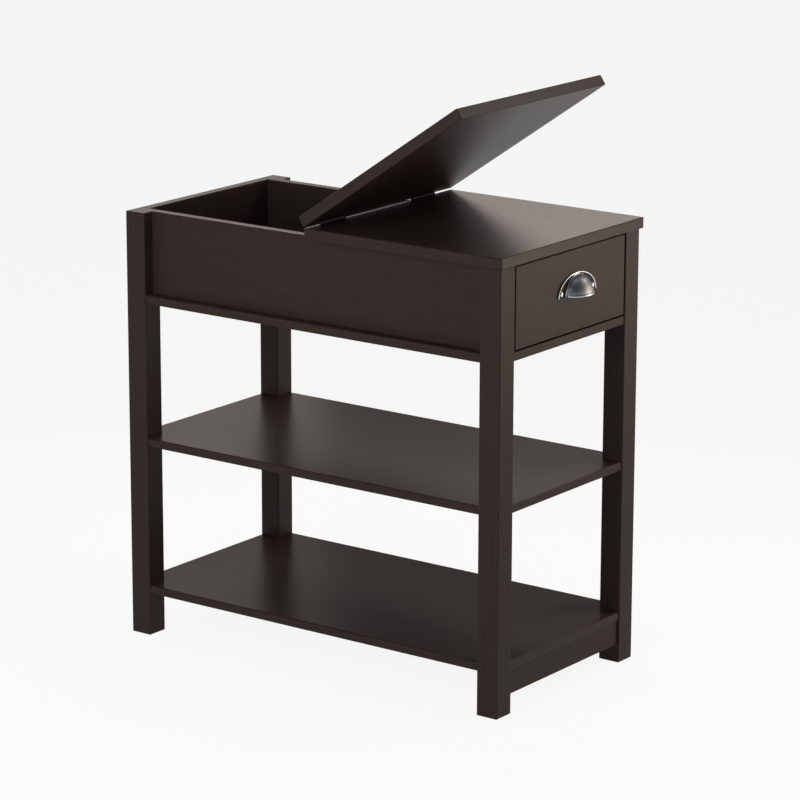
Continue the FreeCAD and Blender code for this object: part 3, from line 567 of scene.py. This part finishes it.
pull_rows = [(lip_row(-CUP_WALL * MOUTH_SHARE, 0), SOFT)]
pull_rows += [(lip_row(LIP * out, rise), polished) for out, rise, polished in LIP_SHAPE]
pull_rows += [(dome_row(step / DOME_ROWS), SOFT) for step in range(1, DOME_ROWS + 1)]
pull_rows += [(foot_row(BEAD * out, FLANGE + BEAD * rise), polished) for out, rise, polished in BEAD_SHAPE]
pull_rows.append((plate_row(RIM_WIDTH + RIM_FILLET, FLANGE), DULL))
for inset, rise, polished in RIM_SHAPE:
    pull_rows.append((plate_row(RIM_WIDTH * inset, FLANGE + RIM_HEIGHT * rise), polished))
pull_rows.append((plate_row(0, 0), DULL))
pull_rows += [(hollow_row(step / HOLLOW_ROWS), DULL) for step in range(HOLLOW_ROWS + 1)]
print("rows round the pull", len(pull_rows))

# %% [markdown]
# Sweeping the outline
# The rows give a closed grid. Its two ends, at the arch's feet, are closed with one flat face each. How
# bright each point was polished is kept in the mesh, where the material can read it. A painted image could
# say the same, but one number on each point is enough.

# %% Cup pull, the mesh
PULL_STEPS = 96
MERGE = 0.004 * MM
PULL_SHARP_EDGE = math.radians(50)
pull_low, pull_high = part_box("cup_pull")
pull_origin = Vector(((pull_low.x + pull_high.x) / 2, pull_high.y, pull_low.z))

shell = bmesh.new()
polish = shell.verts.layers.float.new("polish")
grid = []
for row, polished in pull_rows:
    line = []
    for step in range(PULL_STEPS + 1):
        point = shell.verts.new(pull_origin + Vector(row(math.pi * step / PULL_STEPS)) * MM)
        point[polish] = polished
        line.append(point)
    grid.append(line)
for index, line in enumerate(grid):
    following = grid[(index + 1) % len(grid)]
    for step in range(PULL_STEPS):
        shell.faces.new((line[step], line[step + 1], following[step + 1], following[step]))
shell.faces.new([line[0] for line in grid])
shell.faces.new([line[-1] for line in reversed(grid)])
bmesh.ops.remove_doubles(shell, verts=shell.verts, dist=MERGE)
bmesh.ops.dissolve_degenerate(shell, edges=shell.edges, dist=MERGE)
bmesh.ops.recalc_face_normals(shell, faces=shell.faces)
pull_mesh = bpy.data.meshes.new("cup_pull_cast")
shell.to_mesh(pull_mesh)
print("open edges in the pull", sum(not edge.is_manifold for edge in shell.edges))
shell.free()
pull_mesh.shade_smooth()
pull_mesh.set_sharp_from_angle(angle=PULL_SHARP_EDGE)

# %% [markdown]
# Antique pewter
# The pull is cast zinc, plated and darkened to look like old pewter: it mirrors softly, with nearly black
# hollows and bright edges. Curvature could guess where the polish went, but the mesh already knows it.
# A noise makes the tarnish uneven.

# %% Antique pewter
TARNISH = 5 * MM
antique_pewter, tree = empty_material("antique_pewter")
place = add_node(tree, "ShaderNodeTexCoord", {})
buffed = add_node(tree, "ShaderNodeAttribute", {}, attribute_name="polish")
tarnish = add_node(tree, "ShaderNodeTexNoise", {
    "Vector": place.outputs["Object"], "Scale": 1 / TARNISH, "Detail": 4, "Roughness": 0.6,
})
uneven = add_node(tree, "ShaderNodeMapRange", {
    "Value": tarnish.outputs["Fac"], "From Min": 0.25, "From Max": 0.75, "To Min": -0.06, "To Max": 0.06,
})
brightness = add_node(tree, "ShaderNodeMath", {
    0: buffed.outputs["Fac"], 1: uneven.outputs["Result"],
}, operation="ADD", use_clamp=True)
tone = add_node(tree, "ShaderNodeMix", {
    MIX_FACTOR: brightness.outputs["Value"], MIX_A: linear("#1c1b1a"), MIX_B: linear("#d3d8de"),
}, data_type="RGBA")
gloss = add_node(tree, "ShaderNodeMapRange", {
    "Value": brightness.outputs["Value"], "To Min": 0.56, "To Max": 0.15,
})
skin = add_node(tree, "ShaderNodeTexNoise", {
    "Vector": place.outputs["Object"], "Scale": 1 / CAST_GRAIN, "Detail": 2,
})
relief = add_node(tree, "ShaderNodeBump", {
    "Height": skin.outputs["Fac"], "Strength": 0.15, "Distance": 0.02 * MM,
})
surface = add_node(tree, "ShaderNodeBsdfPrincipled", {
    "Base Color": tone.outputs[MIX_RESULT],
    "Metallic": 1,
    "Roughness": gloss.outputs["Result"],
    "Normal": relief.outputs["Normal"],
})
add_node(tree, "ShaderNodeOutputMaterial", {"Surface": surface.outputs["BSDF"]})
print("pewter nodes", len(tree.nodes))

# %% [markdown]
# The pull in place
# A piece made here rides on the body that carries it, and the CAD nodes that it stands for are hidden.
# One function does both and gives the piece its material, so that no piece is left behind when the drawer
# opens.

# %% Linking a piece
def link_piece(name, mesh, body, slot, material, *stands_for):
    """Puts a finished mesh in the scene as a piece that rides on a body in place of CAD nodes."""
    piece = bpy.data.objects.new(name, mesh)
    bpy.context.scene.collection.objects.link(piece)
    mesh.materials.clear()
    mesh.materials.append(material)
    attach(piece, body)
    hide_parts(*stands_for)


link_piece("cup_pull_cast", pull_mesh, "drawer", "pull_pewter", antique_pewter, "cup_pull")
print("pull faces", len(pull_mesh.polygons))

# %% [markdown]
# Screws and cams
# Every screw here is turned on a lathe and then struck with a cross punch, so the mesh is made the same
# way: an outline is revolved, and a Boolean modifier takes the cross out of the head. A bump in the
# material could fake the cross, but the mesh would lack it. The lathe comes first.

# %% Lathe
LATHE_STEPS = 40


def revolved(outline):
    """A closed mesh turned about Z from (radius, height) pairs in millimetres; it starts and ends at 0."""
    turned_mesh = bmesh.new()
    rings = []
    for radius, height in outline:
        steps = LATHE_STEPS if radius else 1
        angles = [2 * math.pi * step / steps for step in range(steps)]
        ring = [(radius * math.cos(angle), radius * math.sin(angle), height) for angle in angles]
        rings.append([turned_mesh.verts.new(Vector(point) * MM) for point in ring])
    for lower, upper in zip(rings, rings[1:]):
        for step in range(LATHE_STEPS):
            after = (step + 1) % LATHE_STEPS
            corners = [lower[step % len(lower)], lower[after % len(lower)]]
            corners += [upper[after % len(upper)], upper[step % len(upper)]]
            turned_mesh.faces.new(list(dict.fromkeys(corners)))
    bmesh.ops.recalc_face_normals(turned_mesh, faces=turned_mesh.faces)
    return turned_mesh


print("lathe steps", LATHE_STEPS)

# %% [markdown]
# The cross punch
# The tip of a cross screwdriver narrows as it goes in. Two crossed blades would do, but a Boolean works
# best with a cutter that doesn't cut through itself, so the punch is one bar with the outline of a plus
# sign, smaller at its tip.

# %% Cross punch
PUNCH_OVERRUN = 1.0         # how far a punch stands clear of the face that it strikes
TIP_SPAN_SHARE, TIP_BLADE_SHARE = 0.45, 0.55


def punch_between(low, high):
    """A closed cutter between two outlines that have as many corners, in millimetres."""
    cutter = bmesh.new()
    rings = [[cutter.verts.new(Vector(corner) * MM) for corner in outline] for outline in (low, high)]
    for ring in rings:
        cutter.faces.new(ring)
    for step in range(len(low)):
        after = (step + 1) % len(low)
        cutter.faces.new((rings[0][step], rings[0][after], rings[1][after], rings[1][step]))
    bmesh.ops.recalc_face_normals(cutter, faces=cutter.faces)
    return cutter


def plus_outline(span, blade, height):
    """The twelve corners of a plus sign at a height."""
    corners = []
    for quarter in range(4):
        turn = Matrix.Rotation(quarter * math.pi / 2, 3, "Z")
        arm = ((span, -blade), (span, blade), (blade, blade))
        corners += [turn @ Vector((x, y, height)) for x, y in arm]
    return corners


def cross_punch(blade, span, depth, height):
    """A tapering cross that points up along Z, from a face at a height down to its tip's depth."""
    mouth = plus_outline(span, blade, height - PUNCH_OVERRUN)
    tip = plus_outline(span * TIP_SPAN_SHARE, blade * TIP_BLADE_SHARE, height + depth)
    return punch_between(mouth, tip)


print("corners of the punch", len(plus_outline(1, 1, 0)))

# %% [markdown]
# Striking a blank
# The modifier is never kept on a piece: its result is read back as a plain mesh, and the blank and the
# cutters are thrown away. A cut can leave points almost on top of each other, so those are joined before
# the mesh is used.

# %% Striking
SLIVER = 0.002 * MM         # points closer than this after a cut are joined
STRUCK_SHARP_EDGE = math.radians(32)


def as_object(shape, name):
    """Puts a shape in the scene as an object, which a modifier can work on."""
    mesh = bpy.data.meshes.new(name)
    shape.to_mesh(mesh)
    shape.free()
    holder = bpy.data.objects.new(name, mesh)
    bpy.context.scene.collection.objects.link(holder)
    return holder


def struck(blank, *cutters):
    """The blank after each cutter is taken out of it, as a plain mesh."""
    work = as_object(blank, "blank")
    tools = [as_object(cutter, "cutter") for cutter in cutters]
    for tool in tools:
        cut = work.modifiers.new("cut", "BOOLEAN")
        cut.operation = "DIFFERENCE"
        cut.solver = "EXACT"
        cut.object = tool
    evaluated = work.evaluated_get(bpy.context.evaluated_depsgraph_get())
    finished = bpy.data.meshes.new_from_object(evaluated)
    for holder in (work, *tools):
        bpy.data.objects.remove(holder)
    swept = bmesh.new()
    swept.from_mesh(finished)
    bmesh.ops.remove_doubles(swept, verts=swept.verts, dist=SLIVER)
    bmesh.ops.dissolve_degenerate(swept, edges=swept.edges, dist=SLIVER)
    print("open edges after the cut", sum(not edge.is_manifold for edge in swept.edges))
    swept.to_mesh(finished)
    swept.free()
    finished.shade_smooth()
    finished.set_sharp_from_angle(angle=STRUCK_SHARP_EDGE)
    return finished


print("slivers under", round(SLIVER / MM, 4), "mm are joined")

# %% [markdown]
# Kinds of screw
# Domed pan heads hold the slides and the pull, flat heads lie level with the hinges, and a longer screw
# with a cone under its head goes into the drawer's back. The thread is turned as rings rather than a
# helix, which looks the same from outside and keeps the mesh closed.

# %% Screw blanks
CREST_SHARE, ROOT_SHARE = 0.2, 0.75     # where the crest and the root lie along one pitch
TIP_ROUND = 0.2                         # how far the point's rounding reaches back
# The rest of the thread is in shares of the shank's radius.
PITCH_SHARE, TIP_LENGTH_SHARE = 0.75, 2
ROOT_RADIUS_SHARE, TIP_START_SHARE, TIP_END_SHARE = 0.72, 0.7, 0.25
PAN_SHAPE = [(0, -1.0), (0.45, -0.97), (0.75, -0.82), (0.93, -0.5), (1, -0.15), (1, 0)]
FLAT_EDGE_SHARE, FLAT_EDGE_DROP = 0.97, 0.05


def screw_mesh(head, shank, length, blade, span, depth):
    """A screw whose head outline runs from its crown to its shank, with a thread of real steps."""
    pitch = shank * PITCH_SHARE
    outline = list(head)
    height = head[-1][1]
    tip_start = length - TIP_LENGTH_SHARE * shank
    while height + pitch < tip_start:
        outline.append((shank, height + pitch * CREST_SHARE))
        outline.append((shank * ROOT_RADIUS_SHARE, height + pitch * ROOT_SHARE))
        height += pitch
    outline.append((shank * TIP_START_SHARE, tip_start))
    outline += [(shank * TIP_END_SHARE, length - TIP_ROUND), (0, length)]
    crown = head[0][1]
    return struck(revolved(outline), cross_punch(blade, span, depth, crown))


def pan_head(radius, thickness, shank):
    """The outline of a low dome that stands on the face."""
    return [(share * radius, rise * thickness) for share, rise in PAN_SHAPE] + [(shank, 0)]


def flat_head(radius, shank, cone_depth):
    """The outline of a flat head that lies level with the face, over a cone."""
    return [(0, 0), (radius * FLAT_EDGE_SHARE, 0), (radius, FLAT_EDGE_DROP), (shank, cone_depth)]


slide_screw = screw_mesh(pan_head(3.0, 0.9, 1.5), shank=1.5, length=10, blade=0.45, span=1.7, depth=0.7)
pull_screw = screw_mesh(pan_head(3.2, 1.4, 1.6), shank=1.6, length=14, blade=0.5, span=1.9, depth=1.0)
cone_head = [(0, -2), (3.4, -2), (3.5, -1.9), (1.75, 0)]
drawer_screw = screw_mesh(cone_head, shank=1.75, length=30, blade=0.55, span=2.1, depth=1.5)
hinge_screw = screw_mesh(flat_head(2.6, 1.25, 1.2), shank=1.25, length=14, blade=0.4, span=1.5, depth=0.9)
print("faces of a hinge screw", len(hinge_screw.polygons))

# %% [markdown]
# Where the screws go
# The CAD model's holes say where each screw sits and which way it is driven. Places come in pairs, left
# and right, so they are written once, in millimetres, with a sign for the side. The hinge's places are
# measured from its pin, because the lid's screws turn with the lid.

# %% Places of the screws
SIDES = (-1, 1)
DRAWER_SCREW_X, DRAWER_SCREW_Y, DRAWER_SCREW_HEIGHTS = 113.5, -37.75, (514, 554)
RAIL_SCREW_X, RAIL_SCREW_YS, RAIL_SCREW_HEIGHT = 126.8, (-208.75, -98.75), 498
RUNNER_SCREW_X, RUNNER_SCREW_YS, RUNNER_SCREW_HEIGHT = 116.7, (-211.75, -101.75), 497
PULL_SCREW_REACH, PULL_SCREW_RISE = 36, 5
HINGE_AXIS = Vector((0, 12.75, 610.5)) * MM
HINGE_X, HINGE_SCREW_REACH, HINGE_SCREW_DROP, HALF_SEAM = 100, 16, 7.95, 0.75


def both_sides(x, ys, heights):
    """The side's sign and the place, for each y and height at x to the left and to the right."""
    return [(side, Vector((side * x, y, z)) * MM) for side in SIDES for y in ys for z in heights]


def hinge_spots(way):
    """Screws of one leaf, from the pin, towards the drawer (-1) or the compartment (1) when shut."""
    xs = [side * HINGE_X + end * HINGE_SCREW_REACH for side in SIDES for end in SIDES]
    return [(Vector((x, way * HALF_SEAM, -HINGE_SCREW_DROP)) * MM, (0, way, 0)) for x in xs]


drawer_screw_places = both_sides(DRAWER_SCREW_X, [DRAWER_SCREW_Y], DRAWER_SCREW_HEIGHTS)
rail_screw_places = both_sides(RAIL_SCREW_X, RAIL_SCREW_YS, [RAIL_SCREW_HEIGHT])
runner_screw_places = both_sides(RUNNER_SCREW_X, RUNNER_SCREW_YS, [RUNNER_SCREW_HEIGHT])
drawer_screw_spots = [(place, (-side, 0, 0)) for side, place in drawer_screw_places]
rail_screw_spots = [(place, (side, 0, 0)) for side, place in rail_screw_places]
runner_screw_spots = [(place, (-side, 0, 0)) for side, place in runner_screw_places]
pull_screw_offsets = [Vector((side * PULL_SCREW_REACH, -FLANGE, PULL_SCREW_RISE)) for side in SIDES]
pull_screw_spots = [(pull_origin + offset * MM, (0, 1, 0)) for offset in pull_screw_offsets]
hinge_top_spots, hinge_lid_spots = hinge_spots(-1), hinge_spots(1)
print("screws in the rails", len(rail_screw_spots), "in the hinges' top leaves", len(hinge_top_spots))

# %% [markdown]
# Driving the screws
# One blank of each kind is copied to all its places. Linked copies would be lighter, but a set that is
# joined into one mesh stands for one CAD node. A hand leaves each cross at its own angle, so every copy is
# turned by a new amount.

# %% Screws
CROSS_TURN_DEGREES = 37


def driven(mesh, spots, carrier=Matrix()):
    """Pairs of a screw's mesh and the matrix that drives it into each spot of what carries it."""
    placed = []
    for index, (point, into) in enumerate(spots):
        aim = Vector(into).to_track_quat("Z", "Y").to_matrix().to_4x4()
        turn = Matrix.Rotation(math.radians(CROSS_TURN_DEGREES * index), 4, "Z")
        placed.append((mesh, carrier @ Matrix.Translation(point) @ aim @ turn))
    return placed


def copied(name, placed):
    """One mesh from pairs of a mesh and the matrix that places it."""
    together = bmesh.new()
    for mesh, matrix in placed:
        before = len(together.verts)
        together.from_mesh(mesh)
        together.verts.ensure_lookup_table()
        bmesh.ops.transform(together, matrix=matrix, verts=together.verts[before:])
    joined = bpy.data.meshes.new(name)
    together.to_mesh(joined)
    together.free()
    return joined


polished_steel = dipped_metal("polished_nickel_steel", "#d8d5cd", "#cdd0d2", 0.14, 0.22, 0.005 * MM)
at_pin = Matrix.Translation(HINGE_AXIS)
on_lid = at_pin @ Matrix.Rotation(LID_TURN[0], 4, "X")
hinge_top_placed = driven(hinge_screw, hinge_top_spots, at_pin)
hinge_lid_placed = driven(hinge_screw, hinge_lid_spots, on_lid)
screw_sets = [
    ("drawer_screws", "drawer", "zinc_steel", plated_steel, driven(drawer_screw, drawer_screw_spots)),
    ("rail_screws", "carcass", "zinc_steel", plated_steel, driven(slide_screw, rail_screw_spots)),
    ("runner_screws", "drawer", "zinc_steel", plated_steel, driven(slide_screw, runner_screw_spots)),
    ("pull_screws", "drawer", "pull_screw_steel", polished_steel, driven(pull_screw, pull_screw_spots)),
    ("hinge_top_screws", "carcass", "hinge_steel", blackened_steel, hinge_top_placed),
    ("hinge_lid_screws", "lid", "hinge_steel", blackened_steel, hinge_lid_placed),
]
for node, body, slot, material, placed in screw_sets:
    link_piece(f"{node}_cross_head", copied(node, placed), body, slot, material, node)
print("screws", sum(len(placed) for *_, placed in screw_sets))

# %% [markdown]
# The cams
# A cam is a small drum in a blind hole in the board. Half a turn with a screwdriver pulls the bolt's head
# in and closes the joint. It is turned and struck like the screws, with a raised ring, a cross, an arrow
# that points at the bolt, and a hole in its side for the bolt's head. Sizes are in millimetres, and the
# drum hangs down from its face at height 0.

# %% Cam blanks
CAM_RADIUS, CAM_BEVEL, CAM_RECESS = 7.5, 0.4, 0.35
CAM_SHORTER = 2             # the drum is this much shorter than its board is thick
CAM_FACE = [(0, -0.4), (0.3, -0.08), (0.7, 0), (1.3, 0), (1.6, -CAM_RECESS)]    # insets and heights
ARROW = [(-6.6, 0), (-4.6, 1.1), (-4.6, -1.1)]
ARROW_DEPTH, ARROW_OVERRUN = 0.6, 0.5
BORE_RADIUS, BORE_MOUTH, BORE_END = 3.1, -9.5, 0.1


def bolt_bore(depth):
    """The hole in a cam's side where the bolt's head goes in, from its edge to just past its middle."""
    bore = revolved([(0, BORE_MOUTH), (BORE_RADIUS, BORE_MOUTH), (BORE_RADIUS, BORE_END), (0, BORE_END)])
    lay_down = Matrix.Translation((0, 0, -depth * MM)) @ Matrix.Rotation(math.pi / 2, 4, "Y")
    bmesh.ops.transform(bore, matrix=lay_down, verts=bore.verts)
    return bore


def cam_mesh(board):
    """A cam for a board of some thickness."""
    deep = board - CAM_SHORTER
    outline = [(0, -deep), (CAM_RADIUS - CAM_BEVEL, -deep), (CAM_RADIUS, -deep + CAM_BEVEL)]
    outline += [(CAM_RADIUS - inset, height) for inset, height in CAM_FACE] + [(0, -CAM_RECESS)]
    cross = cross_punch(blade=0.7, span=3.2, depth=2.4, height=CAM_RECESS)
    bmesh.ops.transform(cross, matrix=Matrix.Rotation(math.pi, 4, "X"), verts=cross.verts)
    arrow_low = [(x, y, -CAM_RECESS - ARROW_DEPTH) for x, y in ARROW]
    arrow_high = [(x, y, -CAM_RECESS + ARROW_OVERRUN) for x, y in ARROW]
    return struck(revolved(outline), cross, punch_between(arrow_low, arrow_high), bolt_bore(board / 2))


thin_cam, thick_cam = cam_mesh(12), cam_mesh(15)
print("faces of a cam", len(thin_cam.polygons))

# %% [markdown]
# Where the cams go
# The shelves and the box's floor have theirs underneath, the panels inside the box, the apron at its back
# and the drawer's sides outside, so none shows from the front. Each place has the way that the face looks
# and the way from the bolt into the cam. Two directions make a whole matrix, which is safer than angles.

# %% Cams
FRONT, REAR, DOWN = (0, -1, 0), (0, 1, 0), (0, 0, -1)
LEG_CAM_X, PANEL_CAM_X, DRAWER_CAM_X = 104, 128, 115.5
SHELF_UNDERSIDES, SHELF_CAM_YS = (470, 270, 60), (-272.75, 294.25)
PANEL_CAM_HEIGHT, TOP_CAM_HEIGHT, APRON_CAM_HEIGHT, DRAWER_CAM_HEIGHT = 505, 571, 43, 534


def cams_placed(spots):
    """Turns each cam so that its face looks out of the board and its arrow points back at the bolt."""
    placed = []
    for mesh, point, face, into in spots:
        axis = Vector(face)
        along = Vector(into)
        turn = Matrix((along, axis.cross(along), axis)).transposed().to_4x4()
        placed.append((mesh, Matrix.Translation(Vector(point) * MM) @ turn))
    return placed


cam_spots = []
drawer_cam_spots = []
for side in SIDES:
    inward, outward = (-side, 0, 0), (side, 0, 0)
    for z in SHELF_UNDERSIDES:
        cam_spots += [(thin_cam, (side * LEG_CAM_X, y, z), DOWN, inward) for y in SHELF_CAM_YS]
    cam_spots += [
        (thick_cam, (side * PANEL_CAM_X, -241.25, PANEL_CAM_HEIGHT), inward, REAR),
        (thick_cam, (side * PANEL_CAM_X, 262.75, PANEL_CAM_HEIGHT), inward, FRONT),
        (thick_cam, (side * PANEL_CAM_X, -205.25, TOP_CAM_HEIGHT), inward, DOWN),
        (thick_cam, (side * PANEL_CAM_X, -73, TOP_CAM_HEIGHT), inward, DOWN),
        (thick_cam, (side * LEG_CAM_X, 303.75, PANEL_CAM_HEIGHT), FRONT, inward),
        (thin_cam, (side * LEG_CAM_X, -282.25, APRON_CAM_HEIGHT), REAR, inward),
    ]
    drawer_cam_spots.append((thin_cam, (side * DRAWER_CAM_X, -257.75, DRAWER_CAM_HEIGHT), outward, REAR))
cam_sets = [("cam_locks", "carcass", cam_spots), ("drawer_cam_locks", "drawer", drawer_cam_spots)]
for node, body, spots in cam_sets:
    link_piece(f"{node}_cast", copied(node, cams_placed(spots)), body, "cam_zinc", cast_zinc, node)
print("cams", len(cam_spots) + len(drawer_cam_spots))

# %% [markdown]
# The floor
# The photograph's background is plain white. A white room could be lit until it burns out, but then the
# table would be too bright as well. Instead the floor is nearly white to the camera and to mirror-like
# surfaces, and keeps a part of the table's shadow.

# %% Floor
FLOOR_HALF = 200
FLOOR_SHOWN_WHITE = 0.9
white_floor, tree = empty_material("matt_white_floor")
ray = add_node(tree, "ShaderNodeLightPath", {})
seen = add_node(tree, "ShaderNodeMath", {
    0: ray.outputs["Is Camera Ray"], 1: ray.outputs["Is Glossy Ray"],
}, operation="MAXIMUM")
seen_or_through = add_node(tree, "ShaderNodeMath", {
    0: seen.outputs["Value"], 1: ray.outputs["Is Transmission Ray"],
}, operation="MAXIMUM")
share_white = add_node(tree, "ShaderNodeMath", {
    0: seen_or_through.outputs["Value"], 1: FLOOR_SHOWN_WHITE,
}, operation="MULTIPLY")
paint = add_node(tree, "ShaderNodeBsdfDiffuse", {"Color": linear("#f6f5f3")})
glow = add_node(tree, "ShaderNodeEmission", {"Color": linear("#ffffff"), "Strength": 1})
blend = add_node(tree, "ShaderNodeMixShader", {
    0: share_white.outputs["Value"], 1: paint.outputs["BSDF"], 2: glow.outputs["Emission"],
})
add_node(tree, "ShaderNodeOutputMaterial", {"Surface": blend.outputs["Shader"]})
floor_mesh = bpy.data.meshes.new("floor")
corners = [(x * FLOOR_HALF, y * FLOOR_HALF, 0) for x, y in ((-1, -1), (1, -1), (1, 1), (-1, 1))]
floor_mesh.from_pydata(corners, [], [(0, 1, 2, 3)])
floor_mesh.materials.append(white_floor)
floor = bpy.data.objects.new("floor", floor_mesh)
bpy.context.scene.collection.objects.link(floor)
print("floor", 2 * FLOOR_HALF, "m wide")

# %% [markdown]
# The room
# A dark satin lacquer shows little but what it mirrors, so the room matters as much as the lamps. Round the
# table runs a low pale wall, and above it the room is dark, which keeps the shelves deep brown. A modelled
# wall would cast shadows, so it is drawn in the world instead, by the height of each direction.

# %% World
SKY_LIGHT = 0.06
WALL_LIGHT = 0.92
WALL_TOP = math.sin(math.radians(6.5))
WALL_FADED = math.sin(math.radians(8.6))
world = bpy.data.worlds.new("grey_studio")
bpy.context.scene.world = world
world.use_nodes = True
tree = world.node_tree
tree.nodes.clear()
direction = add_node(tree, "ShaderNodeTexCoord", {})
height = add_node(tree, "ShaderNodeSeparateXYZ", {"Vector": direction.outputs["Generated"]})
room = add_node(tree, "ShaderNodeMapRange", {
    "Value": height.outputs["Z"], "From Min": WALL_TOP, "From Max": WALL_FADED,
    "To Min": WALL_LIGHT, "To Max": SKY_LIGHT,
}, interpolation_type="SMOOTHSTEP")
sky = add_node(tree, "ShaderNodeBackground", {
    "Color": linear("#ffffff"), "Strength": room.outputs["Result"],
})
add_node(tree, "ShaderNodeOutputWorld", {"Surface": sky.outputs["Background"]})
bpy.context.scene.view_settings.view_transform = "Standard"
print("wall light", WALL_LIGHT, "sky light", SKY_LIGHT)

# %% [markdown]
# The lamps
# One large softbox overhead and one on the left light the table evenly. The one at the drawer's end is near
# and warm, so that end is lighter and fades towards the floor. The two rear ones put the pale sheen on the
# top and the shelves, and the last one lights the lid's free end. Area lamps are used because their soft
# edges suit a satin finish.

# %% Lamps
def softbox(name, place, aim, size, power, colour):
    """A rectangular lamp at a place, turned to face a point."""
    lamp = bpy.data.lights.new(name, "AREA")
    lamp.shape = "RECTANGLE"
    lamp.size, lamp.size_y = size
    lamp.energy = power
    lamp.color = linear(colour)[:3]
    holder = bpy.data.objects.new(name, lamp)
    bpy.context.scene.collection.objects.link(holder)
    holder.location = place
    holder.rotation_mode = "QUATERNION"
    holder.rotation_quaternion = (Vector(place) - Vector(aim)).to_track_quat("Z", "Y")
    holder.visible_camera = False


softbox("overhead_softbox", (0, 0, 2.4), (0, 0, 0.5), (2, 2), 12, "#ffffff")
softbox("rear_softbox", (0.8, 0.6, 0.98), (0, 0.02, 0.61), (1.2, 0.3), 5, "#fff1e8")
softbox("low_rear_softbox", (0.66, 0.9, 0.5), (0, 0.15, 0.2), (0.45, 0.4), 0.4, "#fff1e8")
softbox("drawer_end_softbox", (0.628, -0.896, 0.535), (0, -0.3, 0.45), (0.5, 0.5), 4.3, "#ffe9d0")
softbox("lid_end_softbox", (0.78, -0.72, 1.22), (0, -0.27, 0.78), (0.4, 0.4), 3.5, "#fff1e8")
softbox("left_softbox", (-1.41, 0, 0.933), (0, 0, 0.45), (0.9, 0.9), 12, "#ffffff")
print("lamps", len(bpy.data.lights))
